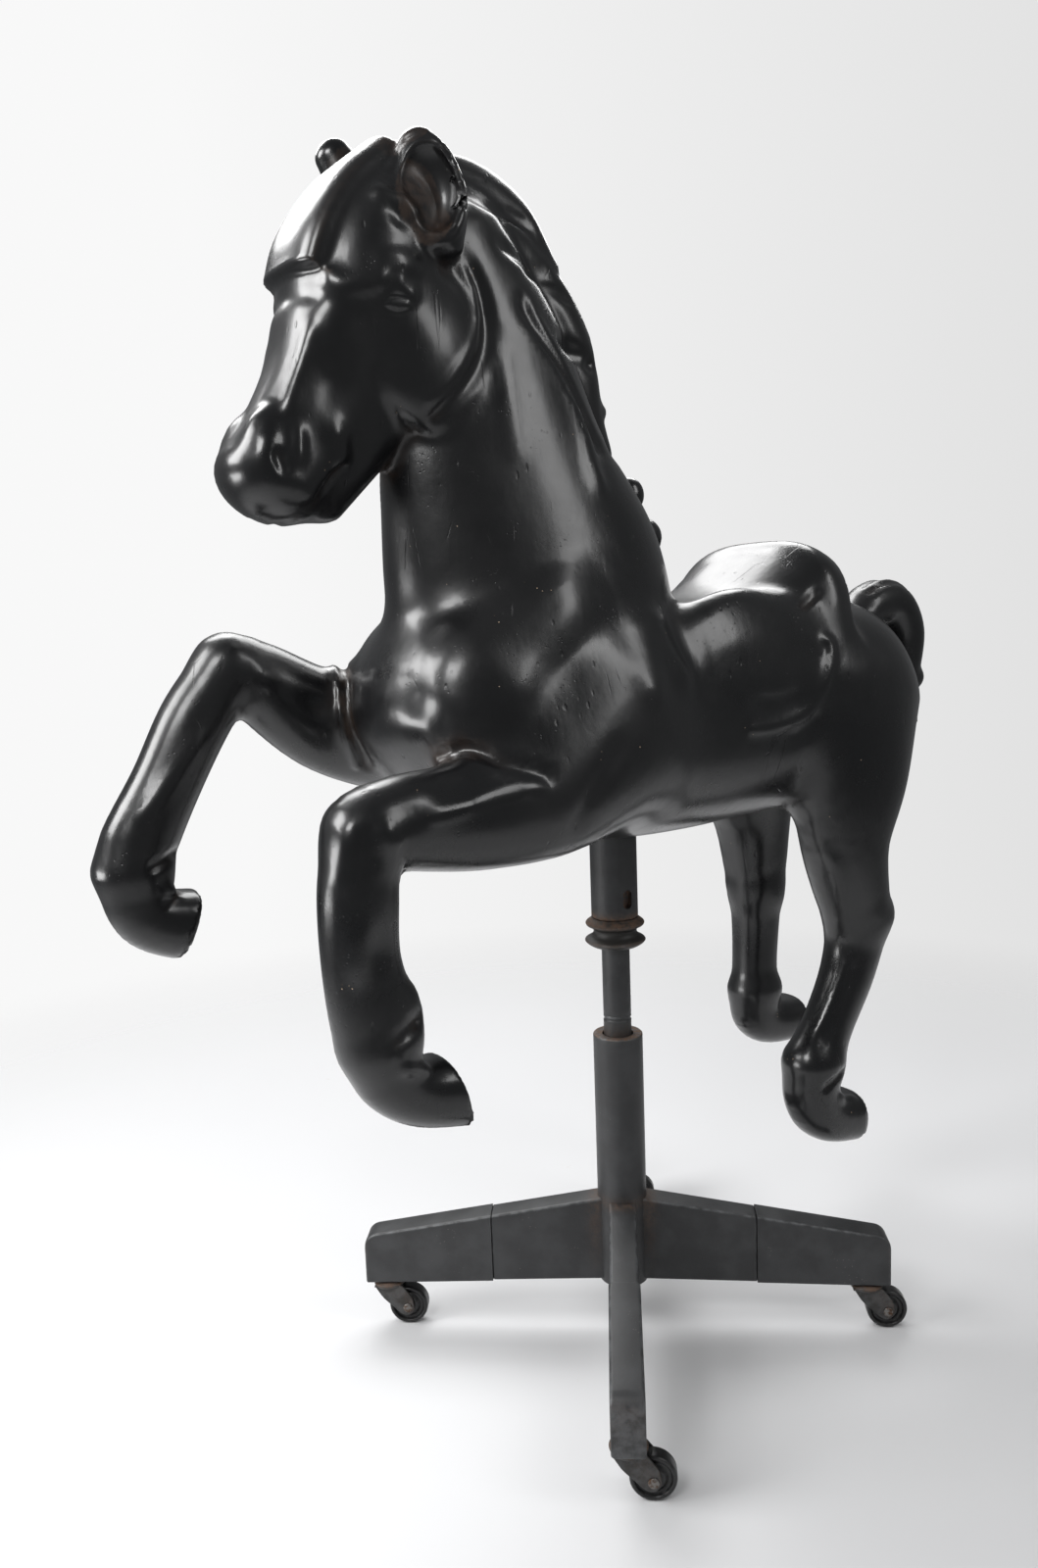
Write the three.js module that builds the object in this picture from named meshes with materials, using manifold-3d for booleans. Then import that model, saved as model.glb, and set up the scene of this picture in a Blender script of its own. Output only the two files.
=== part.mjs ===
// Carved carousel horse on a castered swivel stand, in millimetres, +Z up.
// The horse faces -Y, its left side is +X, and the column stands on the Z axis
// until the whole group is moved to the middle of its footprint at the end.
import * as THREE from 'three';
import { mergeVertices } from 'three/addons/utils/BufferGeometryUtils.js';
import Module from 'manifold-3d';

const wasm = await Module();
wasm.setup();

// ---- driving dimensions ----
const GAP = 0.3;                    // clearance kept between neighbouring pieces
const COLUMN = { r: 25, bore: 15, bottom: 52, top: 316, boreFloor: 60 };
const SPINDLE = { r: 14, bottom: 62, top: 548, ringZ: 334, ringR: 13, ringW: 3 };
const COLLAR = { flangeR: 30, waistR: 21.5, bottom: 407, top: 437 };
const MOUNT = { r: 23.3, top: 560, slotZ: 449, slotW: 6.5, slotH: 17, slotTurn: -0.1 };
const ARM = {
  start: 24, seam: 136, end: 270, half: 13.6, sleeveHalf: 14.8,
  bottomIn: 55, bottomOut: 49.7, topIn: 143, topOut: 101, corner: 12, edge: 3.5,
  headings: { right: 0.8727, front: -0.6981, left: -2.2689, back: 2.4435 },
};
const CASTER = {
  radius: 248, trail: 20, trailHeading: 0.8727, wheelR: 20.3, wheelHalf: 8.2, hubR: 11,
  axleR: 3.2, axleHalf: 14.5, stemR: 5, stemTop: 72, cupR: 17, cupTop: 48.2, cupBottom: 41.5,
  cheekIn: 9.4, cheekOut: 11.6,
};
const LEG_X = 95;                   // sideways distance of each leg from the middle
const SPIN_SEGMENTS = 24;           // facets around the turned stand pieces

// ---- carving: closed lofts through stations ----
// A station is [x, y, z, half width, half depth ahead, half depth behind, squareness].
// "Ahead" is the side that the cross product of the path and the width points to.
const rowsToCurves = (rows) => [
  new THREE.CatmullRomCurve3(rows.map((r) => new THREE.Vector3(r[0], r[1], r[2])), false, 'catmullrom', 0.5),
  new THREE.CatmullRomCurve3(rows.map((r) => new THREE.Vector3(r[3], r[4], r[5])), false, 'catmullrom', 0.5),
];

function loft(rows, { around = 12, span = 2, capRows = 2, startCap = 1, endCap = 1, width = [1, 0, 0] } = {}) {
  const widthAxis = new THREE.Vector3(...width);
  const [path, girth] = rowsToCurves(rows);
  const squareness = rows[0][6] ?? 2;
  const startRows = startCap > 0 ? capRows : 1;
  const endRows = endCap > 0 ? capRows : 1;
  const body = (rows.length - 1) * span;
  const total = body + startRows + endRows;
  const geometry = new THREE.SphereGeometry(1, around, total);
  const position = geometry.attributes.position;
  const ring = around + 1;
  for (let i = 0; i < position.count; i++) {
    const row = Math.floor(i / ring);
    const turn = ((i % ring) / around) * Math.PI * 2;
    const t = THREE.MathUtils.clamp((row - startRows) / body, 0, 1);
    const centre = path.getPoint(t);
    const size = girth.getPoint(t);
    const tangent = path.getTangent(t);
    const across = widthAxis.clone().addScaledVector(tangent, -tangent.dot(widthAxis)).normalize();
    const ahead = new THREE.Vector3().crossVectors(tangent, across);
    let shrink = 1;
    let reach = 0;
    if (row < startRows) {
      const a = (row / startRows) * (Math.PI / 2);
      shrink = Math.sin(a);
      reach = -startCap * Math.cos(a);
    } else if (row > total - endRows) {
      const a = ((total - row) / endRows) * (Math.PI / 2);
      shrink = Math.sin(a);
      reach = endCap * Math.cos(a);
    }
    const c = -Math.cos(turn);
    const s = Math.sin(turn);
    const r = shrink / Math.pow(Math.abs(c) ** squareness + Math.abs(s) ** squareness, 1 / squareness);
    const depth = s > 0 ? size.y : size.z;
    const capSize = Math.min(size.x, size.y, size.z);
    const point = centre
      .addScaledVector(across, c * r * size.x)
      .addScaledVector(ahead, s * r * depth)
      .addScaledVector(tangent, reach * capSize);
    position.setXYZ(i, point.x, point.y, point.z);
  }
  return geometry;
}

function ball([x, y, z], [rx, ry, rz], around = 12, tilt = 0) {
  const geometry = new THREE.SphereGeometry(1, around, Math.max(5, Math.round(around * 0.6)));
  geometry.rotateX(Math.PI / 2);
  return geometry.scale(rx, ry, rz).rotateX(tilt).translate(x, y, z);
}

// ---- joins and cuts ----
function toSolid(geometry) {
  const plain = geometry.clone();
  plain.deleteAttribute('normal');
  plain.deleteAttribute('uv');
  const merged = mergeVertices(plain, 1e-3);
  return new wasm.Manifold(new wasm.Mesh({
    numProp: 3,
    vertProperties: new Float32Array(merged.attributes.position.array),
    triVerts: new Uint32Array(merged.index.array),
  }));
}

function toGeometry(solid) {
  const mesh = solid.getMesh();
  const geometry = new THREE.BufferGeometry();
  geometry.setAttribute('position', new THREE.BufferAttribute(new Float32Array(mesh.vertProperties), 3));
  geometry.setIndex(new THREE.BufferAttribute(new Uint32Array(mesh.triVerts), 1));
  geometry.computeVertexNormals();
  return geometry;
}

const join = (list) => list.map(toSolid).reduce((a, b) => a.add(b));
const cut = (solid, tools) => tools.map(toSolid).reduce((a, b) => a.subtract(b), solid);

// ---- looks ----
const paint = (colour, roughness, metalness) => new THREE.MeshStandardMaterial({ color: colour, roughness, metalness });
const group = new THREE.Group();
function addPiece(name, geometry, material, parent = group) {
  const mesh = new THREE.Mesh(geometry, material);
  mesh.name = name;
  parent.add(mesh);
  return mesh;
}
const mirrored = (side, rows) => rows.map(([x, ...rest]) => [side * x, ...rest]);

// ---- the horse ----
const torso = loft([
  [0, 350, 650, 86, 78, 84, 2.1],
  [0, 295, 655, 126, 92, 112],
  [0, 232, 654, 130, 92, 120],
  [0, 150, 642, 120, 92, 120],
  [0, 60, 630, 118, 106, 112],
  [0, -30, 632, 120, 124, 110],
  [0, -105, 650, 118, 124, 110],
  [0, -170, 670, 102, 104, 98],
], { around: 18, span: 1, capRows: 3, startCap: 0.8, endCap: 0.8 });

const neck = loft([
  [0, -60, 690, 105, 120, 140, 2.1],
  [0, -82, 780, 88, 128, 155],
  [0, -108, 870, 70, 98, 133],
  [0, -133, 960, 56, 84, 98],
  [0, -175, 1045, 46, 66, 60],
], { around: 16, span: 1, startCap: 0.3, endCap: 0.8 });

const head = loft([
  [0, -208, 1072, 50, 50, 48, 2.2],
  [0, -245, 1035, 66, 58, 70],
  [0, -272, 982, 66, 54, 98],
  [0, -298, 930, 50, 40, 75],
  [0, -322, 885, 42, 39, 52],
  [0, -341, 848, 43, 43, 43],
], { around: 16, span: 1, startCap: 0.8, endCap: 0.8 });

// The raised plate of the forehead ends in a brow step above the narrow nose.
const foreheadPlate = loft([
  [0, -232, 1100, 34, 20, 26, 2.6],
  [0, -268, 1072, 42, 18, 26],
  [0, -294, 1036, 42, 16, 26],
  [0, -306, 1004, 38, 13, 26],
], { around: 10, span: 1, startCap: 0.8, endCap: 0.3 });

const faceDetails = [foreheadPlate];
for (const side of [1, -1]) {
  faceDetails.push(ball([side * 56, -252, 1008], [14, 21, 13], 8));
  faceDetails.push(ball([side * 40, -214, 952], [22, 56, 68], 12, 0.35));
  faceDetails.push(ball([side * 24, -357, 876], [12, 13, 20], 8, -0.3));
}
const nostrils = [1, -1].map((side) => ball([side * 40, -350, 868], [7, 8, 17], 8, -0.3));
const mouths = [1, -1].map((side) => ball([side * 44, -322, 829], [9, 36, 4], 8, 0.5));

// Cupped ears: a leaf-shaped shell hollowed from the front and side.
function ear(side) {
  const shell = join([loft(mirrored(side, [
    [52, -212, 1030, 20, 20, 20, 2],
    [52, -208, 1058, 26, 26, 26],
    [48, -208, 1086, 24, 24, 24],
    [43, -214, 1106, 15, 15, 15],
  ]), { around: 10, span: 1, startCap: 0.6, endCap: 0.9 })]);
  return cut(shell, [ball([side * 62, -232, 1070], [20, 20, 30], 14, 0.15)]);
}

// Mane: it falls to the right side in overlapping locks that sweep back and down the
// crest, with two curls low down. The left side of the neck is bare.
const MANE_LOCKS = [
  { at: [[-6, -190, 1092], [-14, -148, 1100], [-12, -98, 1082], [-4, -58, 1044]], wide: 30, thick: 19 },
  { at: [[-24, -166, 1062], [-28, -114, 1056], [-18, -60, 1026], [-6, -24, 986]], wide: 32, thick: 18 },
  { at: [[-34, -140, 1014], [-34, -94, 1000], [-20, -44, 966], [-6, -4, 922]], wide: 30, thick: 17 },
  { at: [[-36, -112, 960], [-32, -64, 940], [-16, -20, 904], [-4, 10, 872]], wide: 27, thick: 15 },
  { at: [[-32, -78, 904], [-26, -34, 882], [-12, 8, 854], [-2, 30, 836]], wide: 22, thick: 13 },
];
function lock({ at, wide, thick }) {
  const grow = [0.55, 1, 0.95, 0.45];
  return loft(at.map(([x, y, z], i) => [x, y, z, thick * grow[i] + 3, wide * grow[i], wide * grow[i], 2]),
    { around: 8, span: 1, startCap: 0.7, endCap: 0.9 });
}
const maneCrest = loft([
  [-6, -205, 1080, 22, 20, 20, 2],
  [-8, -150, 1082, 24, 24, 26],
  [-8, -88, 1048, 22, 24, 26],
  [-6, -38, 986, 20, 26, 26],
  [-2, -8, 908, 16, 24, 26],
  [0, 26, 845, 13, 17, 18],
  [0, 46, 810, 12, 12, 12],
], { around: 10, span: 1 });
const maneCurls = [ball([4, 32, 850], [18, 17, 17], 10), ball([6, 46, 812], [16, 16, 18], 10)];

// Saddle: a rolled cantle that curls forward on both sides, and the skirt's rolled rim.
const cantle = loft([
  [-112, 140, 704, 14, 15, 15, 2],
  [-104, 180, 742, 18, 17, 17],
  [-80, 206, 778, 24, 20, 30],
  [-40, 212, 790, 27, 19, 40],
  [0, 212, 791, 28, 19, 40],
  [40, 212, 788, 27, 19, 40],
  [80, 206, 774, 24, 18, 30],
  [104, 180, 738, 18, 17, 17],
  [112, 140, 704, 14, 15, 15],
], { around: 10, span: 1, width: [0, 1, 0] });
const seatRise = ball([0, 190, 690], [114, 72, 78], 16);
const skirts = [1, -1].map((side) => loft(mirrored(side, [
  [104, 178, 716, 9, 9, 9, 2],
  [117, 176, 680, 9, 9, 9],
  [122, 146, 642, 9, 9, 9],
  [122, 96, 620, 8, 8, 8],
  [118, 40, 632, 6, 6, 6],
]), { around: 6, span: 1 }));

// Each leg: upper limb, shank and hoof. The last station of a hoof is its flat sole.
const LEGS = {
  foreLeft: {
    side: 1,
    upper: [[70, -60, 635, 60, 75, 75, 2], [88, -130, 595, 48, 62, 62], [95, -215, 580, 36, 46, 48], [97, -300, 582, 34, 36, 38], [97, -325, 572, 30, 30, 30]],
    shank: [[97, -328, 580, 31, 28, 30, 2], [97, -331, 530, 30, 31, 32], [96, -331, 480, 27, 31, 32], [95, -326, 432, 29, 33, 37], [95, -322, 412, 29, 33, 36]],
    hoof: [[95, -322, 410, 29, 32, 30, 2.2], [94, -312, 382, 28, 30, 26], [93, -286, 362, 29, 29, 27], [92, -256, 355, 31, 31, 32]],
  },
  foreRight: {
    side: -1,
    upper: [[74, -66, 645, 62, 78, 75, 2], [88, -152, 628, 50, 62, 60], [95, -250, 648, 36, 46, 50], [97, -322, 690, 32, 34, 36], [97, -348, 700, 28, 28, 28]],
    shank: [[97, -348, 702, 29, 28, 30, 2], [97, -380, 660, 28, 30, 31], [96, -410, 608, 27, 29, 30], [95, -437, 562, 28, 31, 33], [95, -444, 540, 28, 31, 33]],
    hoof: [[95, -444, 538, 28, 31, 30, 2.2], [94, -438, 508, 28, 30, 26], [93, -426, 492, 29, 28, 28], [92, -404, 484, 31, 30, 33]],
  },
  hindLeft: {
    side: 1,
    upper: [[72, 282, 640, 70, 100, 88, 2], [88, 254, 560, 58, 82, 70], [92, 240, 490, 42, 52, 50], [93, 252, 430, 34, 42, 42], [93, 260, 408, 30, 38, 42]],
    shank: [[93, 260, 410, 29, 34, 42, 2], [93, 240, 350, 27, 28, 32], [92, 212, 300, 25, 28, 29], [92, 190, 266, 28, 32, 34]],
    hoof: [[92, 187, 262, 28, 32, 32, 2.2], [92, 187, 228, 28, 30, 28], [92, 206, 202, 30, 28, 27], [92, 241, 192, 31, 26, 27]],
  },
  hindRight: {
    side: -1,
    upper: [[72, 282, 640, 70, 100, 88, 2], [88, 282, 560, 58, 75, 70], [92, 298, 490, 42, 50, 48], [93, 302, 430, 34, 38, 40], [93, 302, 400, 30, 32, 34]],
    shank: [[93, 302, 402, 30, 32, 34, 2], [93, 300, 350, 27, 28, 30], [92, 297, 305, 26, 27, 29], [92, 297, 278, 28, 30, 33]],
    hoof: [[92, 297, 276, 28, 31, 32, 2.2], [92, 300, 246, 28, 30, 28], [92, 322, 231, 29, 28, 27], [92, 362, 226, 31, 25, 27]],
  },
};
const legParts = [];
for (const { side, upper, shank, hoof } of Object.values(LEGS)) {
  legParts.push(loft(mirrored(side, upper), { around: 11, span: 1 }));
  legParts.push(loft(mirrored(side, shank), { around: 10, span: 1 }));
  legParts.push(loft(mirrored(side, hoof), { around: 10, span: 1, endCap: 0 }));
}

const tail = loft([
  [0, 366, 712, 24, 20, 20, 2],
  [0, 392, 736, 28, 24, 24],
  [0, 428, 738, 31, 26, 26],
  [0, 450, 704, 32, 25, 25],
  [0, 450, 655, 26, 22, 22],
  [0, 444, 610, 22, 18, 18],
  [0, 438, 586, 13, 12, 12],
], { around: 12, span: 1 });
const tailKnots = [ball([0, 462, 650], [25, 17, 19], 10), ball([0, 458, 602], [20, 15, 17], 10)];

let horse = join([
  torso, neck, head, ...faceDetails, maneCrest, ...maneCurls,
  ...MANE_LOCKS.map(lock),
  seatRise, cantle, ...skirts, ...legParts, tail, ...tailKnots,
]);
horse = horse.add(ear(1)).add(ear(-1));
// A round socket in the belly takes the mounting tube.
const socket = new THREE.CylinderGeometry(MOUNT.r + GAP, MOUNT.r + GAP, 120, SPIN_SEGMENTS)
  .rotateX(Math.PI / 2).translate(0, 0, MOUNT.top + GAP - 60);
horse = cut(horse, [...nostrils, ...mouths, socket]);
addPiece('horse', toGeometry(horse), paint(0x0b0b0c, 0.28, 0));

// ---- turned pieces of the stand ----
const tube = (rOut, rIn, z0, z1, segments = SPIN_SEGMENTS) => {
  const profile = [[rIn, z0], [rOut, z0], [rOut, z1], [rIn, z1], [rIn, z0]].map(([r, z]) => new THREE.Vector2(r, z));
  return new THREE.LatheGeometry(profile, segments).rotateX(Math.PI / 2);
};
const turned = (points, segments = SPIN_SEGMENTS) => new THREE.LatheGeometry(
  points.map(([r, z]) => new THREE.Vector2(r, z)), segments).rotateX(Math.PI / 2);

const mountBore = SPINDLE.r + 1;
// One oval slot, two drilled holes run together, goes through the wall.
const slotTool = new THREE.CapsuleGeometry(MOUNT.slotW / 2, MOUNT.slotH - MOUNT.slotW, 3, 8)
  .scale(4, 1, 1).rotateX(Math.PI / 2).translate(MOUNT.r, 0, 0)
  .rotateZ(MOUNT.slotTurn).translate(0, 0, MOUNT.slotZ);
addPiece('mount_tube', toGeometry(cut(toSolid(tube(MOUNT.r, mountBore, COLLAR.top + GAP, MOUNT.top)), [slotTool])), paint(0x151617, 0.42, 0.3));

addPiece('collar', turned([
  [mountBore, COLLAR.bottom], [22, COLLAR.bottom], [29.5, COLLAR.bottom + 4.5], [COLLAR.flangeR + 0.6, COLLAR.bottom + 7],
  [COLLAR.waistR, COLLAR.bottom + 12], [COLLAR.waistR, COLLAR.top - 11], [COLLAR.flangeR - 0.6, COLLAR.top - 6.5],
  [COLLAR.flangeR - 1, COLLAR.top - 3.4], [24.5, COLLAR.top], [mountBore, COLLAR.top], [mountBore, COLLAR.bottom],
], 20), paint(0x2a1d16, 0.6, 0.4));

const { r: sr, ringZ, ringR, ringW } = SPINDLE;
addPiece('spindle', turned([
  [0, SPINDLE.bottom], [sr - 1, SPINDLE.bottom], [sr, SPINDLE.bottom + 1], [sr, ringZ - ringW], [ringR, ringZ - ringW + 1],
  [ringR, ringZ + ringW - 1], [sr, ringZ + ringW], [sr, SPINDLE.top], [0, SPINDLE.top],
], 18), paint(0x17181a, 0.38, 0.4));

addPiece('column_tube', turned([
  [0, COLUMN.bottom], [COLUMN.r, COLUMN.bottom], [COLUMN.r, COLUMN.top - 1.5], [COLUMN.r - 1.5, COLUMN.top],
  [COLUMN.bore, COLUMN.top], [COLUMN.bore, COLUMN.boreFloor], [0, COLUMN.boreFloor],
]), paint(0x1a1b1d, 0.45, 0.3));

// ---- arms: a tapered channel of bent sheet, with a cover over its outer half ----
const slopeTop = (ARM.topIn - ARM.topOut) / (ARM.end - ARM.start);
const slopeBottom = (ARM.bottomIn - ARM.bottomOut) / (ARM.end - ARM.start);
const topAt = (r) => ARM.topIn - slopeTop * (r - ARM.start);
const bottomAt = (r) => ARM.bottomIn - slopeBottom * (r - ARM.start);

function armSection(r0, r1, half, grow, roundedEnd) {
  const side = new THREE.Shape();
  side.moveTo(r0, bottomAt(r0) - grow);
  side.lineTo(r1, bottomAt(r1) - grow);
  if (roundedEnd) {
    side.lineTo(r1, topAt(r1) + grow - ARM.corner);
    side.quadraticCurveTo(r1, topAt(r1) + grow, r1 - ARM.corner, topAt(r1 - ARM.corner) + grow);
  } else side.lineTo(r1, topAt(r1) + grow);
  side.lineTo(r0, topAt(r0) + grow);
  side.closePath();
  const bevel = ARM.edge * 0.5;
  return new THREE.ExtrudeGeometry(side, {
    depth: 2 * (half - bevel), bevelEnabled: true, bevelThickness: bevel, bevelSize: bevel, bevelOffset: -bevel,
    bevelSegments: 1, curveSegments: 3,
  }).translate(0, 0, -(half - bevel)).rotateX(Math.PI / 2);
}

const stemHole = () => new THREE.CylinderGeometry(CASTER.stemR + GAP, CASTER.stemR + GAP, 60, 16)
  .rotateX(Math.PI / 2).translate(CASTER.radius, 0, CASTER.stemTop + GAP - 30);
const columnSpace = () => new THREE.CylinderGeometry(COLUMN.r + GAP, COLUMN.r + GAP, 300, 56)
  .rotateX(Math.PI / 2).translate(0, 0, 120);

// ---- casters ----
function forkGeometry() {
  const cheek = new THREE.Shape();
  cheek.moveTo(-15, CASTER.cupBottom + 4);
  cheek.lineTo(-6, 30);
  cheek.lineTo(CASTER.trail - 7, CASTER.wheelR - 4);
  cheek.quadraticCurveTo(CASTER.trail, CASTER.wheelR - 9, CASTER.trail + 6.5, CASTER.wheelR);
  cheek.lineTo(CASTER.trail + 5, 31);
  cheek.quadraticCurveTo(CASTER.trail + 1, 40, 15, CASTER.cupBottom + 4);
  cheek.closePath();
  const parts = [1, -1].map((s) => new THREE.ExtrudeGeometry(cheek, {
    depth: CASTER.cheekOut - CASTER.cheekIn, bevelEnabled: false, curveSegments: 1,
  }).rotateX(Math.PI / 2).translate(0, s > 0 ? CASTER.cheekOut : -CASTER.cheekIn, 0));
  const cup = turned([
    [0, CASTER.cupBottom + 1], [CASTER.cupR - 2, CASTER.cupBottom + 1], [CASTER.cupR, CASTER.cupTop - 2.5],
    [CASTER.cupR - 3, CASTER.cupTop], [CASTER.stemR, CASTER.cupTop], [CASTER.stemR, CASTER.stemTop], [0, CASTER.stemTop],
  ], 10);
  const bridge = new THREE.BoxGeometry(22, 2 * CASTER.cheekOut, 4).translate(0, 0, CASTER.cupBottom + 2.4);
  const axleHoles = new THREE.CylinderGeometry(CASTER.axleR + GAP, CASTER.axleR + GAP, 40, 8)
    .translate(CASTER.trail, 0, CASTER.wheelR);
  return toGeometry(cut(join([cup, bridge, ...parts]), [axleHoles]));
}

const wheelProfile = () => {
  const { wheelR: R, wheelHalf: h, hubR, axleR } = CASTER;
  const points = [
    [axleR + GAP, -h], [hubR, -h], [hubR + 3, -h + 2.2], [R - 2.5, -h], [R, -h + 3],
    [R, h - 3], [R - 2.5, h], [hubR + 3, h - 2.2], [hubR, h], [axleR + GAP, h], [axleR + GAP, -h],
  ];
  return new THREE.LatheGeometry(points.map(([r, y]) => new THREE.Vector2(r, y)), 14);
};

const steel = () => paint(0x1c1d1f, 0.45, 0.35);
for (const [name, heading] of Object.entries(ARM.headings)) {
  const arm = new THREE.Group();
  arm.rotation.z = heading;
  group.add(arm);
  const root = toGeometry(cut(toSolid(armSection(ARM.start - 6, ARM.seam, ARM.half, 0, false)), [columnSpace()]));
  addPiece(`arm_${name}`, root, steel(), arm);
  const cover = toGeometry(cut(toSolid(armSection(ARM.seam + GAP, ARM.end, ARM.sleeveHalf, 0.8, true)), [stemHole()]));
  addPiece(`arm_cover_${name}`, cover, steel(), arm);

  const caster = new THREE.Group();
  caster.position.set(CASTER.radius, 0, 0);
  caster.rotation.z = CASTER.trailHeading - heading;
  arm.add(caster);
  addPiece(`caster_fork_${name}`, forkGeometry(), paint(0x2b231d, 0.55, 0.5), caster);
  const wheel = new THREE.Group();
  wheel.position.set(CASTER.trail, 0, CASTER.wheelR);
  caster.add(wheel);
  addPiece(`caster_wheel_${name}`, wheelProfile(), paint(0x101112, 0.35, 0), wheel);
  addPiece(`caster_axle_${name}`, new THREE.CylinderGeometry(CASTER.axleR, CASTER.axleR, 2 * CASTER.axleHalf, 8), paint(0x3a332c, 0.5, 0.7), wheel);
}

// ---- stand the object on the middle of its footprint ----
group.updateMatrixWorld(true);
const bounds = new THREE.Box3().setFromObject(group, true);
const middle = bounds.getCenter(new THREE.Vector3());
group.position.set(-middle.x, -middle.y, -bounds.min.z);
group.updateMatrixWorld(true);

export default group;
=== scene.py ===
"""Gloss-black carved carousel horse on a castered swivel stand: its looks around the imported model.

Lengths in this file are millimetres in the horse's own frame, with the column's axis at x = y = 0 and the
floor at z = 0. MM and the column's place take them to the model's metres.
"""
import math

import bmesh
import bpy
import numpy as np
from mathutils import Matrix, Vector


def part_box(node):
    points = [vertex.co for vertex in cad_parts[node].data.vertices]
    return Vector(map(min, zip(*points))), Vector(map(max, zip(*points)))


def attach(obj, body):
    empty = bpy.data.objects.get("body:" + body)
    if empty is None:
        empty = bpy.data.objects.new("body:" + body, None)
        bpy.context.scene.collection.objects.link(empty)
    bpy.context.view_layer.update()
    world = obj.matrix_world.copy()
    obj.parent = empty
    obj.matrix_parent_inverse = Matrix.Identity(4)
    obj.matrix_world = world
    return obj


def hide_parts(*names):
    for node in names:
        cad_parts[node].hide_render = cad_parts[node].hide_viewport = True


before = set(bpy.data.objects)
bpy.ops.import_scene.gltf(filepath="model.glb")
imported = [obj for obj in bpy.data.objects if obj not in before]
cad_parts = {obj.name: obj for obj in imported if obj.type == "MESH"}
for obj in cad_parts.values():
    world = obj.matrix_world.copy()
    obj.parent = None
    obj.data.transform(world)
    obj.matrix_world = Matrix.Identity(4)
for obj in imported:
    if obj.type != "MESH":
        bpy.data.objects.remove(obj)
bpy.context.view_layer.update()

MM = 0.001
column_low, column_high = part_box("column_tube")
AXIS = np.array([(column_low[0] + column_high[0]) / 2, (column_low[1] + column_high[1]) / 2, 0.0])
HEADING = math.radians(40)      # how far the horse is turned from facing the camera's left


# ---- camera ----
def aim_camera(distance=1151, height=732, yaw=0.079, pitch=0.137, roll=-0.037, lens=27.0):
    """The camera, placed a distance back from the column. With h the heading, its right is (sin h, cos h) and
    its ahead is (-cos h, sin h). It is then yawed, pitched down and rolled. Gives back right and ahead."""
    right = np.array([math.sin(HEADING), math.cos(HEADING), 0])
    ahead = np.array([-math.cos(HEADING), math.sin(HEADING), 0])
    place = AXIS - ahead * distance * MM + np.array([0, 0, height * MM])
    side = right * math.cos(yaw) + ahead * math.sin(yaw)
    level = ahead * math.cos(yaw) - right * math.sin(yaw)
    look = level * math.cos(pitch) - np.array([0, 0, math.sin(pitch)])
    up = np.cross(side, look)
    side, up = side * math.cos(roll) + up * math.sin(roll), up * math.cos(roll) - side * math.sin(roll)
    data = bpy.data.cameras.new("camera")
    data.sensor_width = 36.0
    data.lens = lens
    camera = bpy.data.objects.new("camera", data)
    bpy.context.collection.objects.link(camera)
    camera.matrix_world = Matrix([[side[k], up[k], -look[k], place[k]] for k in range(3)] + [[0, 0, 0, 1]])
    bpy.context.scene.camera = camera
    return right, ahead


VIEW_RIGHT, VIEW_AHEAD = aim_camera()


# ---- studio ----
# Each row: name, place and target in metres to the camera's right, ahead and up from the column's foot, then
# the box's width and height in metres, and its watts.
SOFT_BOXES = [
    ("right box", (1.5, -0.65, 1.75), (0, 0, 0.8), (0.45, 1.1), 8),
    ("left box", (-1.75, -0.6, 1.75), (-0.2, -0.2, 0.8), (0.9, 1.0), 38),
    ("low box", (-1.8, -0.75, 0.45), (-0.2, -0.3, 0.6), (0.8, 0.4), 12),
    ("front box", (-0.75, -1.65, 1.85), (-0.15, -0.2, 0.75), (0.7, 0.5), 17),
    ("plate box", (-1.05, 1.0, 2.3), (-0.2, -0.2, 1.0), (1.1, 0.9), 26),
    ("back box", (0.0, 1.4, 2.15), (0.1, 0.0, 0.75), (1.5, 1.0), 27),
]
ROOM_GLOSS = 0.16           # what the gloss mirrors of the room
ROOM_LIGHT = 0.5            # what the room adds to matt surfaces
BACKDROP_WITH_PAINTED_SHADE = (0.94, 0.74)     # brightness behind the horse, from the camera's left to its right: painted shade that darkens the backdrop towards the right
# directions across which the painted shade on the backdrop deepens
PAINTED_SHADE_SPAN = (-0.3, 0.4)


def by_camera(point):
    """A point given along the camera's right, its ahead and up, in the model's metres."""
    return AXIS + VIEW_RIGHT * point[0] + VIEW_AHEAD * point[1] + np.array([0, 0, point[2]])


def soft_box(name, place, target, size, power):
    """A rectangular light at the place, whose back axis runs from the target to the place."""
    data = bpy.data.lights.new(name, 'AREA')
    data.shape = 'RECTANGLE'
    data.size, data.size_y = size
    data.energy = power
    lamp = bpy.data.objects.new(name, data)
    bpy.context.collection.objects.link(lamp)
    lamp.visible_camera = False
    place, goal = by_camera(place), by_camera(target)
    back = (place - goal) / np.linalg.norm(place - goal)
    side = np.cross([0, 0, 1], back)
    side /= np.linalg.norm(side)
    up_axis = np.cross(back, side)
    lamp.matrix_world = Matrix([[side[k], up_axis[k], back[k], place[k]] for k in range(3)] + [[0, 0, 0, 1]])


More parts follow.
